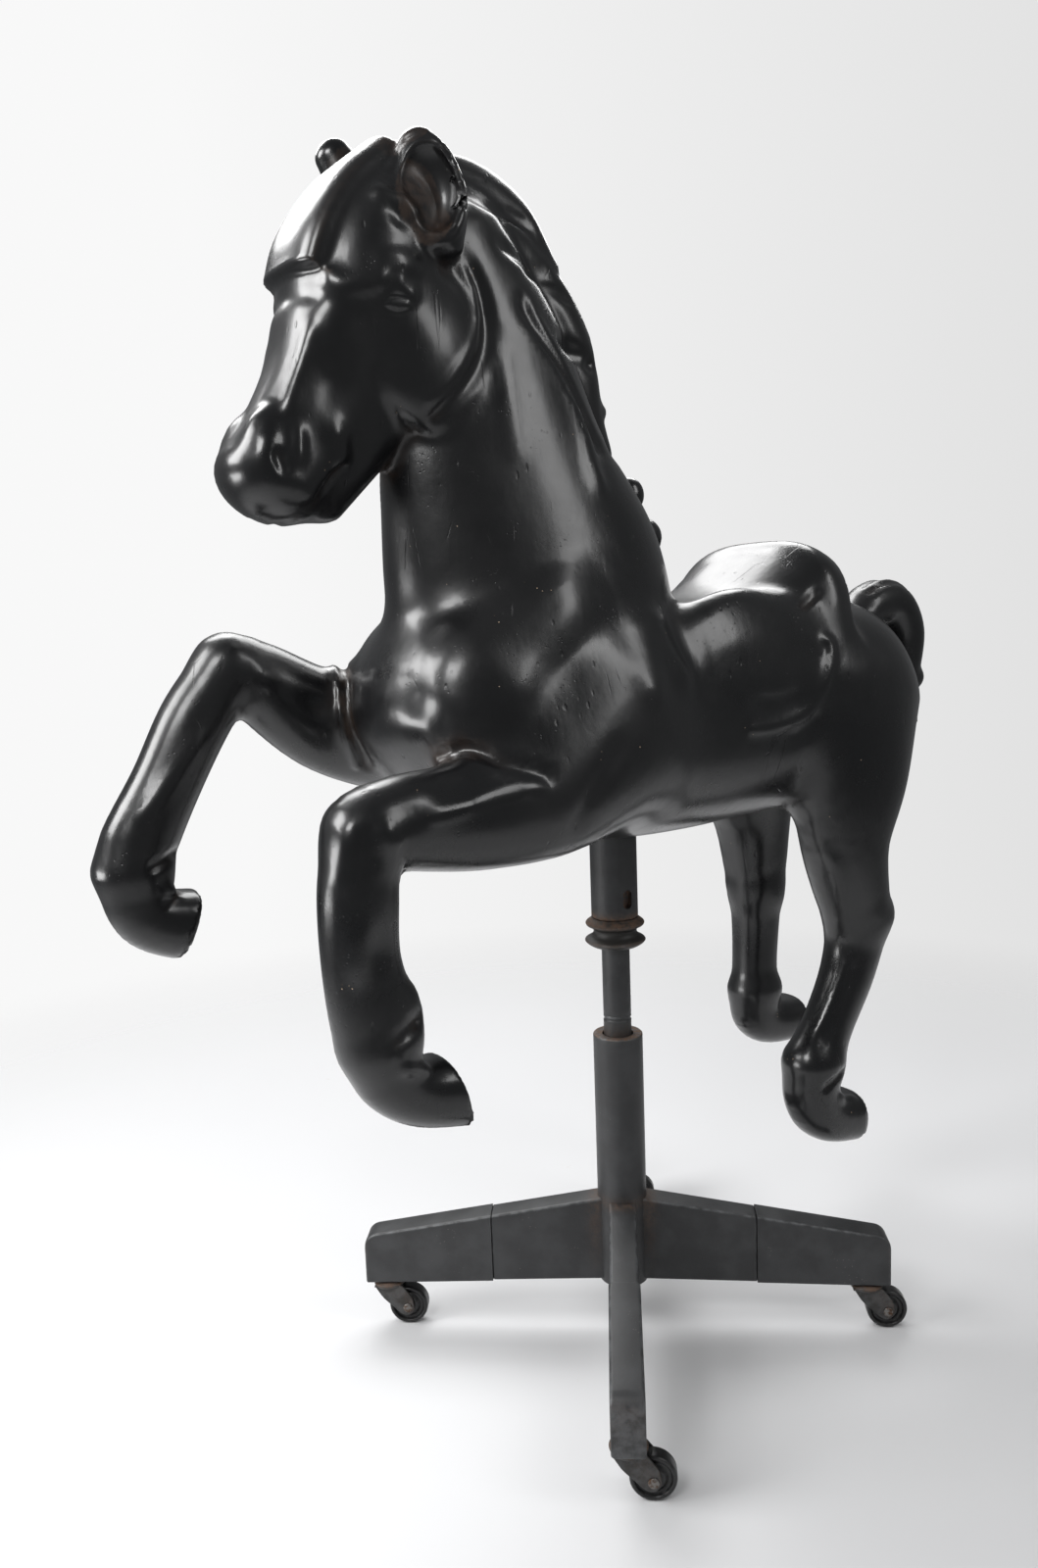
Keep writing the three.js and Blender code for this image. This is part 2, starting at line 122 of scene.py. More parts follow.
def studio():
    """A dim room for what the gloss reflects, a pale one to be seen behind the horse with painted shade
    darkening it towards the camera's right, and the soft boxes.
    """
    world = bpy.data.worlds.new("studio")
    bpy.context.scene.world = world
    world.use_nodes = True
    nodes, links = world.node_tree.nodes, world.node_tree.links
    dim = nodes["Background"]
    dim.inputs["Color"].default_value = (0.96, 0.98, 1.0, 1)
    dim.inputs["Strength"].default_value = ROOM_GLOSS
    pale = nodes.new('ShaderNodeBackground')
    pale.inputs["Color"].default_value = (1, 1, 1, 1)
    ahead = nodes.new('ShaderNodeTexCoord')
    across = nodes.new('ShaderNodeVectorMath')
    across.operation = 'DOT_PRODUCT'
    across.inputs[1].default_value = VIEW_RIGHT
    links.new(ahead.outputs["Generated"], across.inputs[0])
    # painted shade: the pale backdrop is made darker towards the camera's right, standing in for light that
    # falls off across it
    painted_falloff = nodes.new('ShaderNodeMapRange')
    for socket, value in zip(painted_falloff.inputs[1:5], PAINTED_SHADE_SPAN + BACKDROP_WITH_PAINTED_SHADE):
        socket.default_value = value
    links.new(across.outputs["Value"], painted_falloff.inputs[0])
    links.new(painted_falloff.outputs[0], pale.inputs["Strength"])
    soft = nodes.new('ShaderNodeBackground')
    soft.inputs["Strength"].default_value = ROOM_LIGHT
    path = nodes.new('ShaderNodeLightPath')
    unlit = nodes.new('ShaderNodeMixShader')
    links.new(path.outputs["Is Diffuse Ray"], unlit.inputs[0])
    links.new(dim.outputs[0], unlit.inputs[1])
    links.new(soft.outputs[0], unlit.inputs[2])
    either = nodes.new('ShaderNodeMixShader')
    links.new(path.outputs["Is Camera Ray"], either.inputs[0])
    links.new(unlit.outputs[0], either.inputs[1])
    links.new(pale.outputs[0], either.inputs[2])
    links.new(either.outputs[0], nodes["World Output"].inputs[0])
    for row in SOFT_BOXES:
        soft_box(*row)
    bpy.context.scene.view_settings.view_transform = 'Standard'


studio()


# ---- shader maths ----
class Wire:
    """A shader value. Arithmetic on wires adds Math nodes, and any other node comes from make_node()."""

    def __init__(self, tree, socket):
        self.tree, self.socket = tree, socket

    def maths(self, operation, *others):
        """A Math node on this value and the others."""
        return make_node(self.tree, 'ShaderNodeMath', {'operation': operation}, 0,
                         **{f'in{k}': v for k, v in enumerate((self,) + others)})

    def __add__(self, other):
        return self.maths('ADD', other)

    def __radd__(self, other):
        return self.maths('ADD', other)

    def __mul__(self, other):
        return self.maths('MULTIPLY', other)

    def __rmul__(self, other):
        return self.maths('MULTIPLY', other)

    def __sub__(self, other):
        return self.maths('SUBTRACT', other)

    def __rsub__(self, other):
        return make_node(self.tree, 'ShaderNodeMath', {'operation': 'SUBTRACT'}, 0, in0=other, in1=self)

    def __pow__(self, other):
        return self.maths('POWER', other)

    def ramp(self, low, high):
        """0 below low, 1 above high, smooth between."""
        return make_node(self.tree, 'ShaderNodeMapRange', {'interpolation_type': 'SMOOTHSTEP'}, 0,
                         in0=self, in1=low, in2=high, in3=0.0, in4=1.0)

    def clip(self):
        """Held between 0 and 1."""
        return self.maths('MAXIMUM', 0.0).maths('MINIMUM', 1.0)


def make_node(tree, kind, settings=None, out=0, **values):
    """One node: its settings first, then its sockets, named in0, in1 by place, or by their own names."""
    node = tree.nodes.new(kind)
    for key, value in (settings or {}).items():
        setattr(node, key, value)
    for key, value in values.items():
        by_place = key.startswith('in') and key[2:].isdigit()
        socket = node.inputs[int(key[2:])] if by_place else node.inputs[key]
        if isinstance(value, Wire):
            tree.links.new(value.socket, socket)
        else:
            socket.default_value = value
    return Wire(tree, node.outputs[out])


class Finish:
    """A material and its few building blocks."""

    def __init__(self, name, **fixed):
        self.material = bpy.data.materials.new(name)
        self.material.use_nodes = True
        self.tree = self.material.node_tree
        self.shader = self.tree.nodes["Principled BSDF"]
        for key, value in fixed.items():
            self.shader.inputs[key.replace('_', ' ')].default_value = value
        self.place = make_node(self.tree, 'ShaderNodeTexCoord', out=3)

    def set(self, socket, value):
        """The shader's own socket, linked to a wire or set to a value."""
        if isinstance(value, Wire):
            self.tree.links.new(value.socket, self.shader.inputs[socket])
        else:
            self.shader.inputs[socket].default_value = value

    def noise(self, scale, detail=3.0, rough=0.55, stretch=(1, 1, 1)):
        """Cloudy noise over the object's own place. The stretch scales it along each axis."""
        place = self.place
        if stretch != (1, 1, 1):
            place = make_node(self.tree, 'ShaderNodeMapping', None, 0, Vector=place, Scale=stretch)
        return make_node(self.tree, 'ShaderNodeTexNoise', None, 0,
                         Vector=place, Scale=scale, Detail=detail, Roughness=rough)

    def cells(self, scale, feature='F1', stretch=(1, 1, 1)):
        """Distance to scattered points, or to the edges between their cells."""
        place = make_node(self.tree, 'ShaderNodeMapping', None, 0, Vector=self.place, Scale=stretch)
        return make_node(self.tree, 'ShaderNodeTexVoronoi', {'feature': feature}, 0,
                         Vector=place, Scale=scale)

    def mask(self, name):
        """A painted-on mask carried by the piece's own vertices."""
        return make_node(self.tree, 'ShaderNodeAttribute', {'attribute_name': name}, 2)

    def mix(self, share, a, b):
        """Colour a turning to colour b."""
        node = self.tree.nodes.new('ShaderNodeMix')
        node.data_type = 'RGBA'
        for socket, value in ((node.inputs[0], share), (node.inputs[6], a), (node.inputs[7], b)):
            if isinstance(value, Wire):
                self.tree.links.new(value.socket, socket)
            else:
                socket.default_value = (*value, 1) if isinstance(value, tuple) else value
        return Wire(self.tree, node.outputs[2])

    def bump(self, height, distance, strength):
        """A normal tilted by a relief that is the distance deep, in metres."""
        return make_node(self.tree, 'ShaderNodeBump', None, 0,
                         Height=height, Distance=distance, Strength=strength)


def gloss_black():
    """Thick gloss black over carved wood: tool marks, pits, nicks, fine cracks, pale chips and brown wear."""
    f = Finish("gloss_black_paint", Coat_Roughness=0.17, IOR=1.5)
    cloud, fine = f.noise(9, 4), f.noise(140, 4, 0.6)
    tool = f.noise(46, 3, 0.5, (1, 1, 0.35))
    pits = (1 - f.cells(260).ramp(0.05, 0.3)) * f.noise(40, 3).ramp(0.55, 0.66)
    nick = (1 - f.cells(110, 'F1', (1, 1, 0.4)).ramp(0.05, 0.22)) * f.noise(23, 3).ramp(0.54, 0.64)
    crack_line = f.cells(34, 'DISTANCE_TO_EDGE', (1, 1, 0.22))
    crack = (1 - crack_line.ramp(0.0, 0.02)) * f.noise(12, 2).ramp(0.6, 0.7)
    chip = (1 - f.cells(210).ramp(0.05, 0.16)) * f.noise(30, 3).ramp(0.66, 0.7)
    wear = (f.mask("wear") * f.noise(60, 5, 0.65).ramp(0.3, 0.62)).clip()
    colour = f.mix(cloud.ramp(0.35, 0.7), (0.0025, 0.0027, 0.0033), (0.006, 0.006, 0.0066))
    colour = f.mix(wear * 0.8, colour, (0.05, 0.026, 0.014))
    colour = f.mix(chip * 0.9, colour, (0.5, 0.36, 0.24))
    f.set("Base Color", colour)
    f.set("Roughness", 0.23 + cloud.ramp(0.3, 0.75) * 0.12 + fine * 0.05 + wear * 0.3)
    f.set("Coat Weight", 0.35 - wear * 0.3)
    relief = cloud * 0.6 + tool * 0.26 + fine * 0.06 - pits * 0.12 - nick * 0.22 - crack * 0.25 - chip * 0.2
    f.set("Normal", f.bump(relief, 0.0022, 0.75))
    return f.material


def stand_paint(name, tint, rough=0.42):
    """Satin black on steel: fine orange peel, rubbed grey edges and rust where the mask allows."""
    f = Finish(name, Metallic=0.0, IOR=1.5)
    cloud, peel = f.noise(30, 4), f.noise(420, 3, 0.5)
    rust = (f.mask("rust") * f.noise(160, 5, 0.7).ramp(0.3, 0.6)).clip()
    rub = (f.mask("edge") * f.noise(90, 4, 0.6).ramp(0.35, 0.65)).clip()
    speck = (1 - f.cells(260).ramp(0.04, 0.14)) * f.noise(22, 2).ramp(0.6, 0.66)
    colour = f.mix(cloud.ramp(0.35, 0.7), tint, tuple(c * 1.7 for c in tint))
    colour = f.mix(rub * 0.6, colour, (0.12, 0.125, 0.13))
    colour = f.mix(rust, colour, f.mix(f.noise(300, 4), (0.05, 0.028, 0.018), (0.14, 0.085, 0.055)))
    colour = f.mix(speck * 0.5, colour, (0.3, 0.27, 0.24))
    f.set("Base Color", colour)
    f.set("Roughness", rough + cloud * 0.12 + rust * 0.35 - rub * 0.08)
    f.set("Normal", f.bump(peel * 0.3 + cloud * 0.2 + rust * f.noise(500, 4) * 0.8, 0.0006, 0.8))
    return f.material


def wheel_plastic():
    """Black plastic, scuffed pale in cloudy patches."""
    f = Finish("wheel_plastic", IOR=1.48)
    scuff = f.noise(180, 4, 0.6).ramp(0.45, 0.75)
    f.set("Base Color", f.mix(scuff * 0.5, (0.009, 0.009, 0.0095), (0.045, 0.043, 0.04)))
    f.set("Roughness", 0.3 + scuff * 0.25)
    f.set("Normal", f.bump(f.noise(600, 3), 0.0003, 0.5))
    return f.material


def rivet_steel():
    """Bare steel with brown stains."""
    f = Finish("rivet_steel", Metallic=0.85)
    stain = f.noise(300, 4).ramp(0.4, 0.65)
    f.set("Base Color", f.mix(stain, (0.2, 0.19, 0.18), (0.09, 0.05, 0.03)))
    f.set("Roughness", 0.35 + stain * 0.3)
    f.set("Normal", f.bump(f.noise(900, 2), 0.0002, 0.5))
    return f.material


def studio_floor():
    """Pale painted floor with faint cloudy marks and a few scuffs, which thins out into the pale room."""
    f = Finish("studio_floor", IOR=1.4)
    scuff = f.noise(26, 5, 0.7).ramp(0.66, 0.74) * f.noise(3, 2).ramp(0.5, 0.62)
    base = f.mix(f.noise(1.2, 3), (0.56, 0.562, 0.57), (0.59, 0.592, 0.60))
    f.set("Base Color", f.mix(scuff * 0.35, base, (0.5, 0.47, 0.44)))
    f.set("Roughness", 0.6)
    flat = make_node(f.tree, 'ShaderNodeVectorMath', {'operation': 'LENGTH'}, 1, in0=f.place)
    f.set("Alpha", 1 - flat.ramp(0.7, 1.7))
    f.set("Normal", f.bump(f.noise(60, 3), 0.0004, 0.25))
    return f.material


# ---- meshes ----
def new_piece(name, verts, faces, body, node, material, masks=None, sharp=35):
    """A mesh object in the model's metres from millimetres about the column's axis."""
    mesh = bpy.data.meshes.new(name)
    mesh.from_pydata((np.asarray(verts) * MM + AXIS).tolist(), [], [[int(k) for k in f] for f in faces])
    mesh.update()
    for key, values in (masks or {}).items():
        mesh.attributes.new(key, 'FLOAT', 'POINT').data.foreach_set('value', np.asarray(values, np.float32))
    mesh.polygons.foreach_set('use_smooth', np.ones(len(mesh.polygons), bool))
    if sharp:
        mesh.set_sharp_from_angle(angle=math.radians(sharp))
    piece = bpy.data.objects.new(name, mesh)
    bpy.context.collection.objects.link(piece)
    piece.data.materials.append(material)
    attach(piece, body)
    if node:
        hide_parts(node)
    return piece


def grid_faces(rows, around, wrap_rows=False):
    """Quads of a grid closed around its second direction, and around its first if it wraps."""
    i = np.arange(rows if wrap_rows else rows - 1)[:, None]
    j = np.arange(around)[None]
    n = (i + 1) % rows
    m = (j + 1) % around
    corners = [i * around + j, i * around + m, n * around + m, n * around + j]
    return np.stack(corners, -1).reshape(-1, 4)


def turned(profile, around, bore=False):
    """Lathe: a point (r, z) of the profile goes to (r cos t, r sin t, z). With a bore the profile closes on
    itself. Without one, the first and last points lie on the axis and close the solid."""
    profile = np.asarray(profile, float)
    t = np.linspace(0, 2 * np.pi, around, endpoint=False)
    if bore:
        r, z = profile[:, :1], profile[:, 1:]
        verts = np.stack([r * np.cos(t), r * np.sin(t), z + 0 * t], -1).reshape(-1, 3)
        return verts, [tuple(f) for f in grid_faces(len(profile), around, wrap_rows=True)]
    inner = profile[(profile[:, 0] > 1e-6)]
    r, z = inner[:, :1], inner[:, 1:]
    verts = np.stack([r * np.cos(t), r * np.sin(t), z + 0 * t], -1).reshape(-1, 3)
    faces = [tuple(f) for f in grid_faces(len(inner), around)]
    last = len(verts)
    verts = np.vstack([verts, [0, 0, profile[0, 1]], [0, 0, profile[-1, 1]]])
    j = np.arange(around)
    m = (j + 1) % around
    faces += [(last, b, a) for a, b in zip(j, m)]
    top = (len(inner) - 1) * around
    faces += [(last + 1, top + a, top + b) for a, b in zip(j, m)]
    return verts, faces


def rounded(points, radius, steps=4):
    """A closed profile with each corner rounded by the curve (1-t)^2 p + 2t(1-t) b + t^2 q, where b is the
    corner, and p and q lie on its two sides, cut back by the radius."""
    points = np.asarray(points, float)
    out = []
    for k in range(len(points)):
        a, b, c = points[k - 1], points[k], points[(k + 1) % len(points)]
        cut = min(radius, 0.45 * np.linalg.norm(a - b), 0.45 * np.linalg.norm(c - b))
        p = b + (a - b) / max(np.linalg.norm(a - b), 1e-9) * cut
        q = b + (c - b) / max(np.linalg.norm(c - b), 1e-9) * cut
        for t in np.linspace(0, 1, steps):
            out.append((1 - t) ** 2 * p + 2 * t * (1 - t) * b + t * t * q)
    return np.array(out)


def turned_about(verts, angle, place=(0, 0, 0)):
    """Points turned about the upright axis, then moved to the place."""
    c, s = math.cos(angle), math.sin(angle)
    return verts @ np.array([[c, s, 0], [-s, c, 0], [0, 0, 1]]) + np.asarray(place)


# ---- the horse's form ----
CELL = 6.0          # mm, first grid of the carved surface
BATCH = 150000      # points of that grid that are worked out at one time
LATERAL = (1.0, 0.0, 0.0)


def spline(rows, per_span):
    """Catmull-Rom through the rows: 0.5 * (2b + (c-a)t + (2a-5b+4c-d)t^2 + (3b-a-3c+d)t^3)."""
    rows = np.asarray(rows, float)
    ends = np.vstack([2 * rows[0] - rows[1], rows, 2 * rows[-1] - rows[-2]])
    a, b, c, d = ends[:-3, None], ends[1:-2, None], ends[2:-1, None], ends[3:, None]
    t = np.linspace(0, 1, per_span, endpoint=False)[None, :, None]
    curve = 0.5 * (2 * b + (c - a) * t + (2 * a - 5 * b + 4 * c - d) * t ** 2
                   + (3 * b - a - 3 * c + d) * t ** 3)
    return np.vstack([curve.reshape(-1, rows.shape[1]), rows[-1:]])


def mixed(values, i, j, share):
    """Between the i-th and the j-th value, by the share of the way."""
    share = share if values.ndim == 1 else share[:, None]
    return values[i] * (1 - share) + values[j] * share


class Limb:
    """Distance to a limb carried along a path, whose section is |u/a|^n + |v/b|^n = 1. A row is x, y, z, half
    width a, half depth b ahead and behind, and squareness n. Ahead is path direction x width."""

    def __init__(self, rows, cap=(1.0, 1.0), width=LATERAL, side=1, step=5.0, cut=None):
        rows = np.array(rows, float)
        rows[:, 0] *= side
        if rows.shape[1] == 6:
            rows = np.hstack([rows, np.full((len(rows), 1), 2.0)])
        length = np.linalg.norm(np.diff(rows[:, :3], axis=0), axis=1).sum()
        curve = spline(rows, max(2, int(np.ceil(length / step / (len(rows) - 1)))))
        self.path = curve[:, :3]
        self.size = np.maximum(curve[:, 3:6], 1.0)
        self.square = curve[:, 6]
        along = np.gradient(self.path, axis=0)
        self.along = along / np.linalg.norm(along, axis=1)[:, None]
        width = np.asarray(width, float)
        across = width - self.along * (self.along @ width)[:, None]
        self.across = across / np.linalg.norm(across, axis=1)[:, None]
        self.ahead = np.cross(self.along, self.across)
        self.cap = cap
        self.cut = None
        if cut is not None:
            centre, normal = np.array(cut[0], float), np.array(cut[1], float)
            centre[0] *= side
            self.cut = (centre, normal / np.linalg.norm(normal))
        reach = self.size.max() + 36
        self.low, self.high = self.path.min(0) - reach, self.path.max(0) + reach

    def __call__(self, p):
        c = self.path.astype(np.float32)
        q = p.astype(np.float32)
        i = np.argmin((c ** 2).sum(1)[None] - 2 * q @ c.T, axis=1)
        w = np.einsum('ij,ij->i', p - self.path[i], self.along[i])
        j = np.clip(i + np.where(w > 0, 1, -1), 0, len(c) - 1)
        gap = np.linalg.norm(self.path[j] - self.path[i], axis=1)
        share = np.clip(np.abs(w) / np.maximum(gap, 1e-6), 0, 1) * (i != j)
        r = p - mixed(self.path, i, j, share)
        size = mixed(self.size, i, j, share)
        u = np.einsum('ij,ij->i', r, mixed(self.across, i, j, share))
        v = np.einsum('ij,ij->i', r, mixed(self.ahead, i, j, share))
        w = np.einsum('ij,ij->i', r, mixed(self.along, i, j, share))
        a, b = size[:, 0], np.where(v > 0, size[:, 1], size[:, 2])
        n = mixed(self.square, i, j, share)
        small = np.minimum(a, b)
        end = small * np.where(i < len(c) / 2, self.cap[0], self.cap[1])
        radius = np.sqrt((np.abs(u / a) ** n + np.abs(v / b) ** n) ** (2 / n) + (w / end) ** 2)
        slope = np.sqrt((u / a ** 2) ** 2 + (v / b ** 2) ** 2 + (w / end ** 2) ** 2)
        slope = slope / np.maximum(radius, 1e-6)
        far = np.clip((radius - 1) / np.maximum(slope, 1e-9), -400, 400)
        d = np.where(radius > 0.3, far, (radius - 1) * small)
        if self.cut:
            d = blend_max(d, (p - self.cut[0]) @ self.cut[1], 4.0)
        return d


class Ball:
    """Distance to an ellipsoid, turned about X by the tilt."""

    def __init__(self, centre, radii, tilt=0.0):
        self.centre, self.radii = np.array(centre, float), np.array(radii, float)
        self.turn = np.array([[1, 0, 0], [0, np.cos(tilt), np.sin(tilt)], [0, -np.sin(tilt), np.cos(tilt)]])
        reach = self.radii.max() + 30
        self.low, self.high = self.centre - reach, self.centre + reach

    def __call__(self, p):
        q = ((p - self.centre) @ self.turn.T) / self.radii
        k = np.linalg.norm(q, axis=1)
        slope = np.linalg.norm(q / self.radii, axis=1) / np.maximum(k, 1e-6)
        return np.where(k > 0.3, (k - 1) / np.maximum(slope, 1e-9), (k - 1) * self.radii.min())


def blend_min(a, b, k):
    """Union of two distances whose meeting line is rounded over the width k."""
    h = np.clip(0.5 + 0.5 * (b - a) / k, 0, 1)
    return b * (1 - h) + a * h - k * h * (1 - h)


def blend_max(a, b, k):
    """What two distances share, with the meeting line rounded over the width k."""
    return -blend_min(-a, -b, k)


class Stroke:
    """A chisel stroke: height * exp(-(distance / width)^2) around a path. A long one fades in and out over
    three widths of its length, by 3s^2 - 2s^3. A short one is a plain round bump or dent."""

    def __init__(self, points, width, height, both=False):
        self.path = spline(points, 6) if len(points) > 2 else points
        self.width, self.height, self.both = width, height, both
        run = np.linalg.norm(np.diff(self.path, axis=0), axis=1)
        self.along = np.concatenate([[0], np.cumsum(run)])
        self.fades = self.along[-1] > 5 * width
        self.low, self.high = self.path.min(0) - 2.6 * width, self.path.max(0) + 2.6 * width

    def __call__(self, p):
        best, where = np.full(len(p), 1e9), np.zeros(len(p))
        for a, b, start in zip(self.path[:-1], self.path[1:], self.along):
            ab = b - a
            t = np.clip(((p - a) @ ab) / max(ab @ ab, 1e-9), 0, 1)
            d = np.linalg.norm(p - a - t[:, None] * ab, axis=1)
            near = d < best
            best[near] = d[near]
            where[near] = start + t[near] * np.linalg.norm(ab)
        rise = self.height * np.exp(-(best / self.width) ** 2)
        if self.fades:
            s = np.clip(np.minimum(where, self.along[-1] - where) / (3 * self.width), 0, 1)
            rise = rise * s * s * (3 - 2 * s)
        return rise


# Torso, neck and head.
TORSO = Limb([
    [0, 344, 650, 82, 78, 84, 2.1], [0, 292, 655, 120, 92, 112, 2.2], [0, 232, 654, 130, 90, 120, 2.2],
    [0, 150, 642, 120, 88, 120, 2.2], [0, 60, 630, 118, 104, 112, 2.2], [0, -30, 632, 120, 124, 110, 2.2],
    [0, -105, 650, 118, 124, 110, 2.2], [0, -170, 670, 102, 104, 98, 2.1]], cap=(0.8, 0.8))
NECK = Limb([
    [0, -60, 690, 105, 120, 140, 2.1], [0, -82, 780, 88, 126, 155, 2.1], [0, -108, 870, 70, 96, 133, 2.1],
    [0, -133, 960, 56, 80, 98, 2.1], [0, -175, 1045, 46, 62, 60, 2.1]], cap=(0.3, 0.8))
HEAD = Limb([
    [0, -208, 1072, 50, 50, 48, 2.1], [0, -245, 1035, 64, 56, 70, 2.2], [0, -272, 982, 62, 50, 98, 2.1],
    [0, -298, 930, 45, 37, 75, 2.5], [0, -322, 885, 40, 36, 52, 2.5], [0, -341, 848, 43, 43, 42, 2.3]],
    cap=(0.8, 0.75))

FORE_LEFT = dict(
    side=1,
    upper=[[70, -60, 635, 60, 75, 75], [88, -130, 595, 48, 62, 62], [95, -215, 580, 36, 46, 48],
           [97, -300, 582, 34, 36, 38], [97, -325, 572, 30, 30, 30]],
    shank=[[97, -330, 580, 31, 28, 30], [97, -335, 530, 30, 31, 32], [96, -335, 480, 27, 31, 32],
           [95, -328, 432, 29, 33, 37], [95, -322, 412, 29, 33, 36]],
    hoof=[[95, -322, 410, 29, 32, 30, 2.2], [94, -312, 382, 28, 30, 26, 2.2],
          [93, -286, 362, 29, 29, 27, 2.3], [92, -240, 353, 32, 31, 33, 2.6]],
    sole=((92, -257, 355), (0, 0.96, 0.28)))
FORE_RIGHT = dict(
    side=-1,
    upper=[[74, -66, 645, 62, 78, 75], [88, -152, 628, 50, 62, 60], [95, -250, 648, 36, 46, 50],
           [97, -322, 690, 32, 34, 36], [97, -348, 700, 28, 28, 28]],
    shank=[[97, -348, 702, 29, 28, 30], [97, -380, 660, 28, 30, 31], [96, -410, 608, 27, 29, 30],
           [95, -437, 562, 28, 31, 33], [95, -444, 540, 28, 31, 33]],
    hoof=[[95, -444, 538, 28, 31, 30, 2.2], [94, -438, 508, 28, 30, 26, 2.2],
          [93, -426, 492, 29, 28, 28, 2.3], [92, -388, 479, 32, 30, 34, 2.6]],
    sole=((92, -404, 484), (0, 0.92, -0.39)))
HIND_LEFT = dict(
    side=1,
    upper=[[66, 282, 640, 64, 96, 80], [86, 254, 560, 56, 80, 64], [92, 240, 490, 42, 52, 50],
           [93, 252, 430, 34, 42, 42], [93, 260, 408, 30, 38, 42]],
    shank=[[93, 260, 410, 29, 34, 42], [93, 240, 350, 27, 28, 32], [92, 212, 300, 25, 28, 29],
           [92, 190, 266, 28, 32, 34]],
    hoof=[[92, 187, 262, 28, 32, 32, 2.2], [92, 187, 228, 28, 30, 28, 2.2], [92, 206, 202, 30, 28, 27, 2.3],
          [92, 256, 190, 32, 26, 28, 2.6]],
    sole=((92, 241, 192), (0, 1, -0.08)))
HIND_RIGHT = dict(
    side=-1,
    upper=[[72, 282, 640, 70, 100, 88], [88, 282, 560, 58, 75, 70], [92, 298, 490, 42, 50, 48],
           [93, 302, 430, 34, 38, 40], [93, 302, 400, 30, 32, 34]],
    shank=[[93, 302, 402, 30, 32, 34], [93, 300, 350, 27, 28, 30], [92, 297, 305, 26, 27, 29],
           [92, 297, 278, 28, 30, 33]],
    hoof=[[92, 297, 276, 28, 31, 32, 2.2], [92, 300, 246, 28, 30, 28, 2.2], [92, 322, 231, 29, 28, 27, 2.3],
          [92, 376, 226, 32, 25, 28, 2.6]],
    sole=((92, 362, 226), (0, 1, 0)))

CHEST = Limb([[-50, -180, 664, 60, 70, 72, 2.6], [0, -186, 664, 62, 70, 74, 2.6],
              [50, -180, 664, 60, 70, 72, 2.6]],
             cap=(0.95, 0.95), width=(0, -0.31, -0.95))
SHOULDER = [[56, -188, 688, 40, 46, 50], [60, -150, 708, 42, 50, 55], [64, -108, 734, 38, 50, 55],
            [62, -70, 752, 30, 42, 50]]
TAIL = Limb([
    [0, 366, 712, 24, 20, 20], [0, 392, 736, 28, 24, 24], [0, 428, 738, 31, 26, 26],
    [0, 450, 704, 32, 25, 25],
    [0, 450, 655, 26, 22, 22], [0, 444, 606, 22, 18, 18], [0, 438, 580, 13, 12, 12]])
SEAT = Limb([
    [0, 30, 690, 90, 40, 44, 2.3], [0, 90, 690, 101, 40, 53, 2.4], [0, 140, 690, 108, 40, 71, 2.6],
    [0, 180, 690, 114, 40, 98, 2.8], [0, 206, 690, 118, 40, 116, 3.0], [0, 240, 690, 112, 40, 106, 3.0]],
    cap=(0.5, 0.8), cut=((0, 226, 750), (0, 1, -0.12)))
PLATE = Limb([[0, -232, 1100, 36, 20, 26, 2.8], [0, -266, 1072, 45, 20, 26, 3.2],
              [0, -292, 1036, 47, 20, 26, 3.6], [0, -306, 1004, 44, 18, 26, 3.6]],
             cap=(0.8, 0.25))
CHIN = Limb([[0, -240, 905, 30, 30, 30], [0, -274, 868, 27, 27, 27], [0, -300, 840, 24, 25, 25]],
            cap=(0.5, 0.9))
CREST = Limb([
    [-6, -205, 1080, 22, 20, 20], [-8, -150, 1082, 24, 24, 26], [-8, -88, 1048, 22, 24, 26],
    [-6, -38, 986, 20, 26, 26],
    [-4, -20, 908, 16, 17, 24], [-2, 10, 850, 12, 13, 16], [2, 34, 812, 11, 10, 12]])
LOCKS = [
    (30, 19, [(-6, -190, 1092), (-14, -148, 1100), (-12, -98, 1082), (-4, -58, 1044)]),
    (32, 18, [(-24, -166, 1062), (-28, -114, 1056), (-18, -60, 1026), (-6, -24, 986)]),
    (30, 17, [(-34, -140, 1014), (-34, -94, 1000), (-20, -44, 966), (-6, -4, 922)]),
    (26, 15, [(-34, -108, 968), (-30, -66, 946), (-18, -30, 912), (-6, -4, 876)]),
    (20, 13, [(-32, -78, 904), (-26, -38, 880), (-12, 2, 850), (-2, 24, 832)]),
]
LOCK_SWELL = (0.55, 1.0, 0.95, 0.45)


def lock(wide, thick, points):
    """A lock of the mane: thin and wide, swelling and thinning along its points."""
    rows = [[*point, thick * swell + 3, wide * swell, wide * swell] for point,
            swell in zip(points, LOCK_SWELL)]
    return Limb(rows, cap=(0.7, 0.9))


def leg_parts(leg):
    """Upper limb, shank and hoof, each with the width over which it melts into what is there."""
    side = leg['side']
    return [(Limb(leg['upper'], side=side), 32.0), (Limb(leg['shank'], side=side), 14.0),
            (Limb(leg['hoof'], side=side, cut=leg['sole'], cap=(0.8, 0.8)), 12.0)]


# The carving's parts in the order in which they are joined, each with the width of its blend.
PARTS = [(TORSO, 0.0), (NECK, 24.0), (CHEST, 18.0), (HEAD, 14.0), (PLATE, 5.0)]
PARTS += [(Limb(SHOULDER, side=side, cap=(0.9, 0.9)), 11.0) for side in (1, -1)]
for side in (1, -1):
    PARTS += [(Ball((side * 56, -252, 1008), (12, 18, 10)), 10.0),                  # brow
              (Ball((side * 38, -214, 952), (24, 54, 66), 0.35), 12.0),             # cheek
              (Ball((side * 22, -354, 878), (12, 13, 20), -0.3), 12.0)]             # nostril's swell
PARTS += [(CHIN, 14.0), (CREST, 10.0)]
PARTS += [(lock(*row), 4.0) for row in LOCKS]
PARTS += [(Ball((8, 24, 848), (15, 15, 17)), 3.0), (Ball((10, 40, 808), (18, 18, 19)), 3.0)]    # curls
PARTS += [(SEAT, 26.0)]
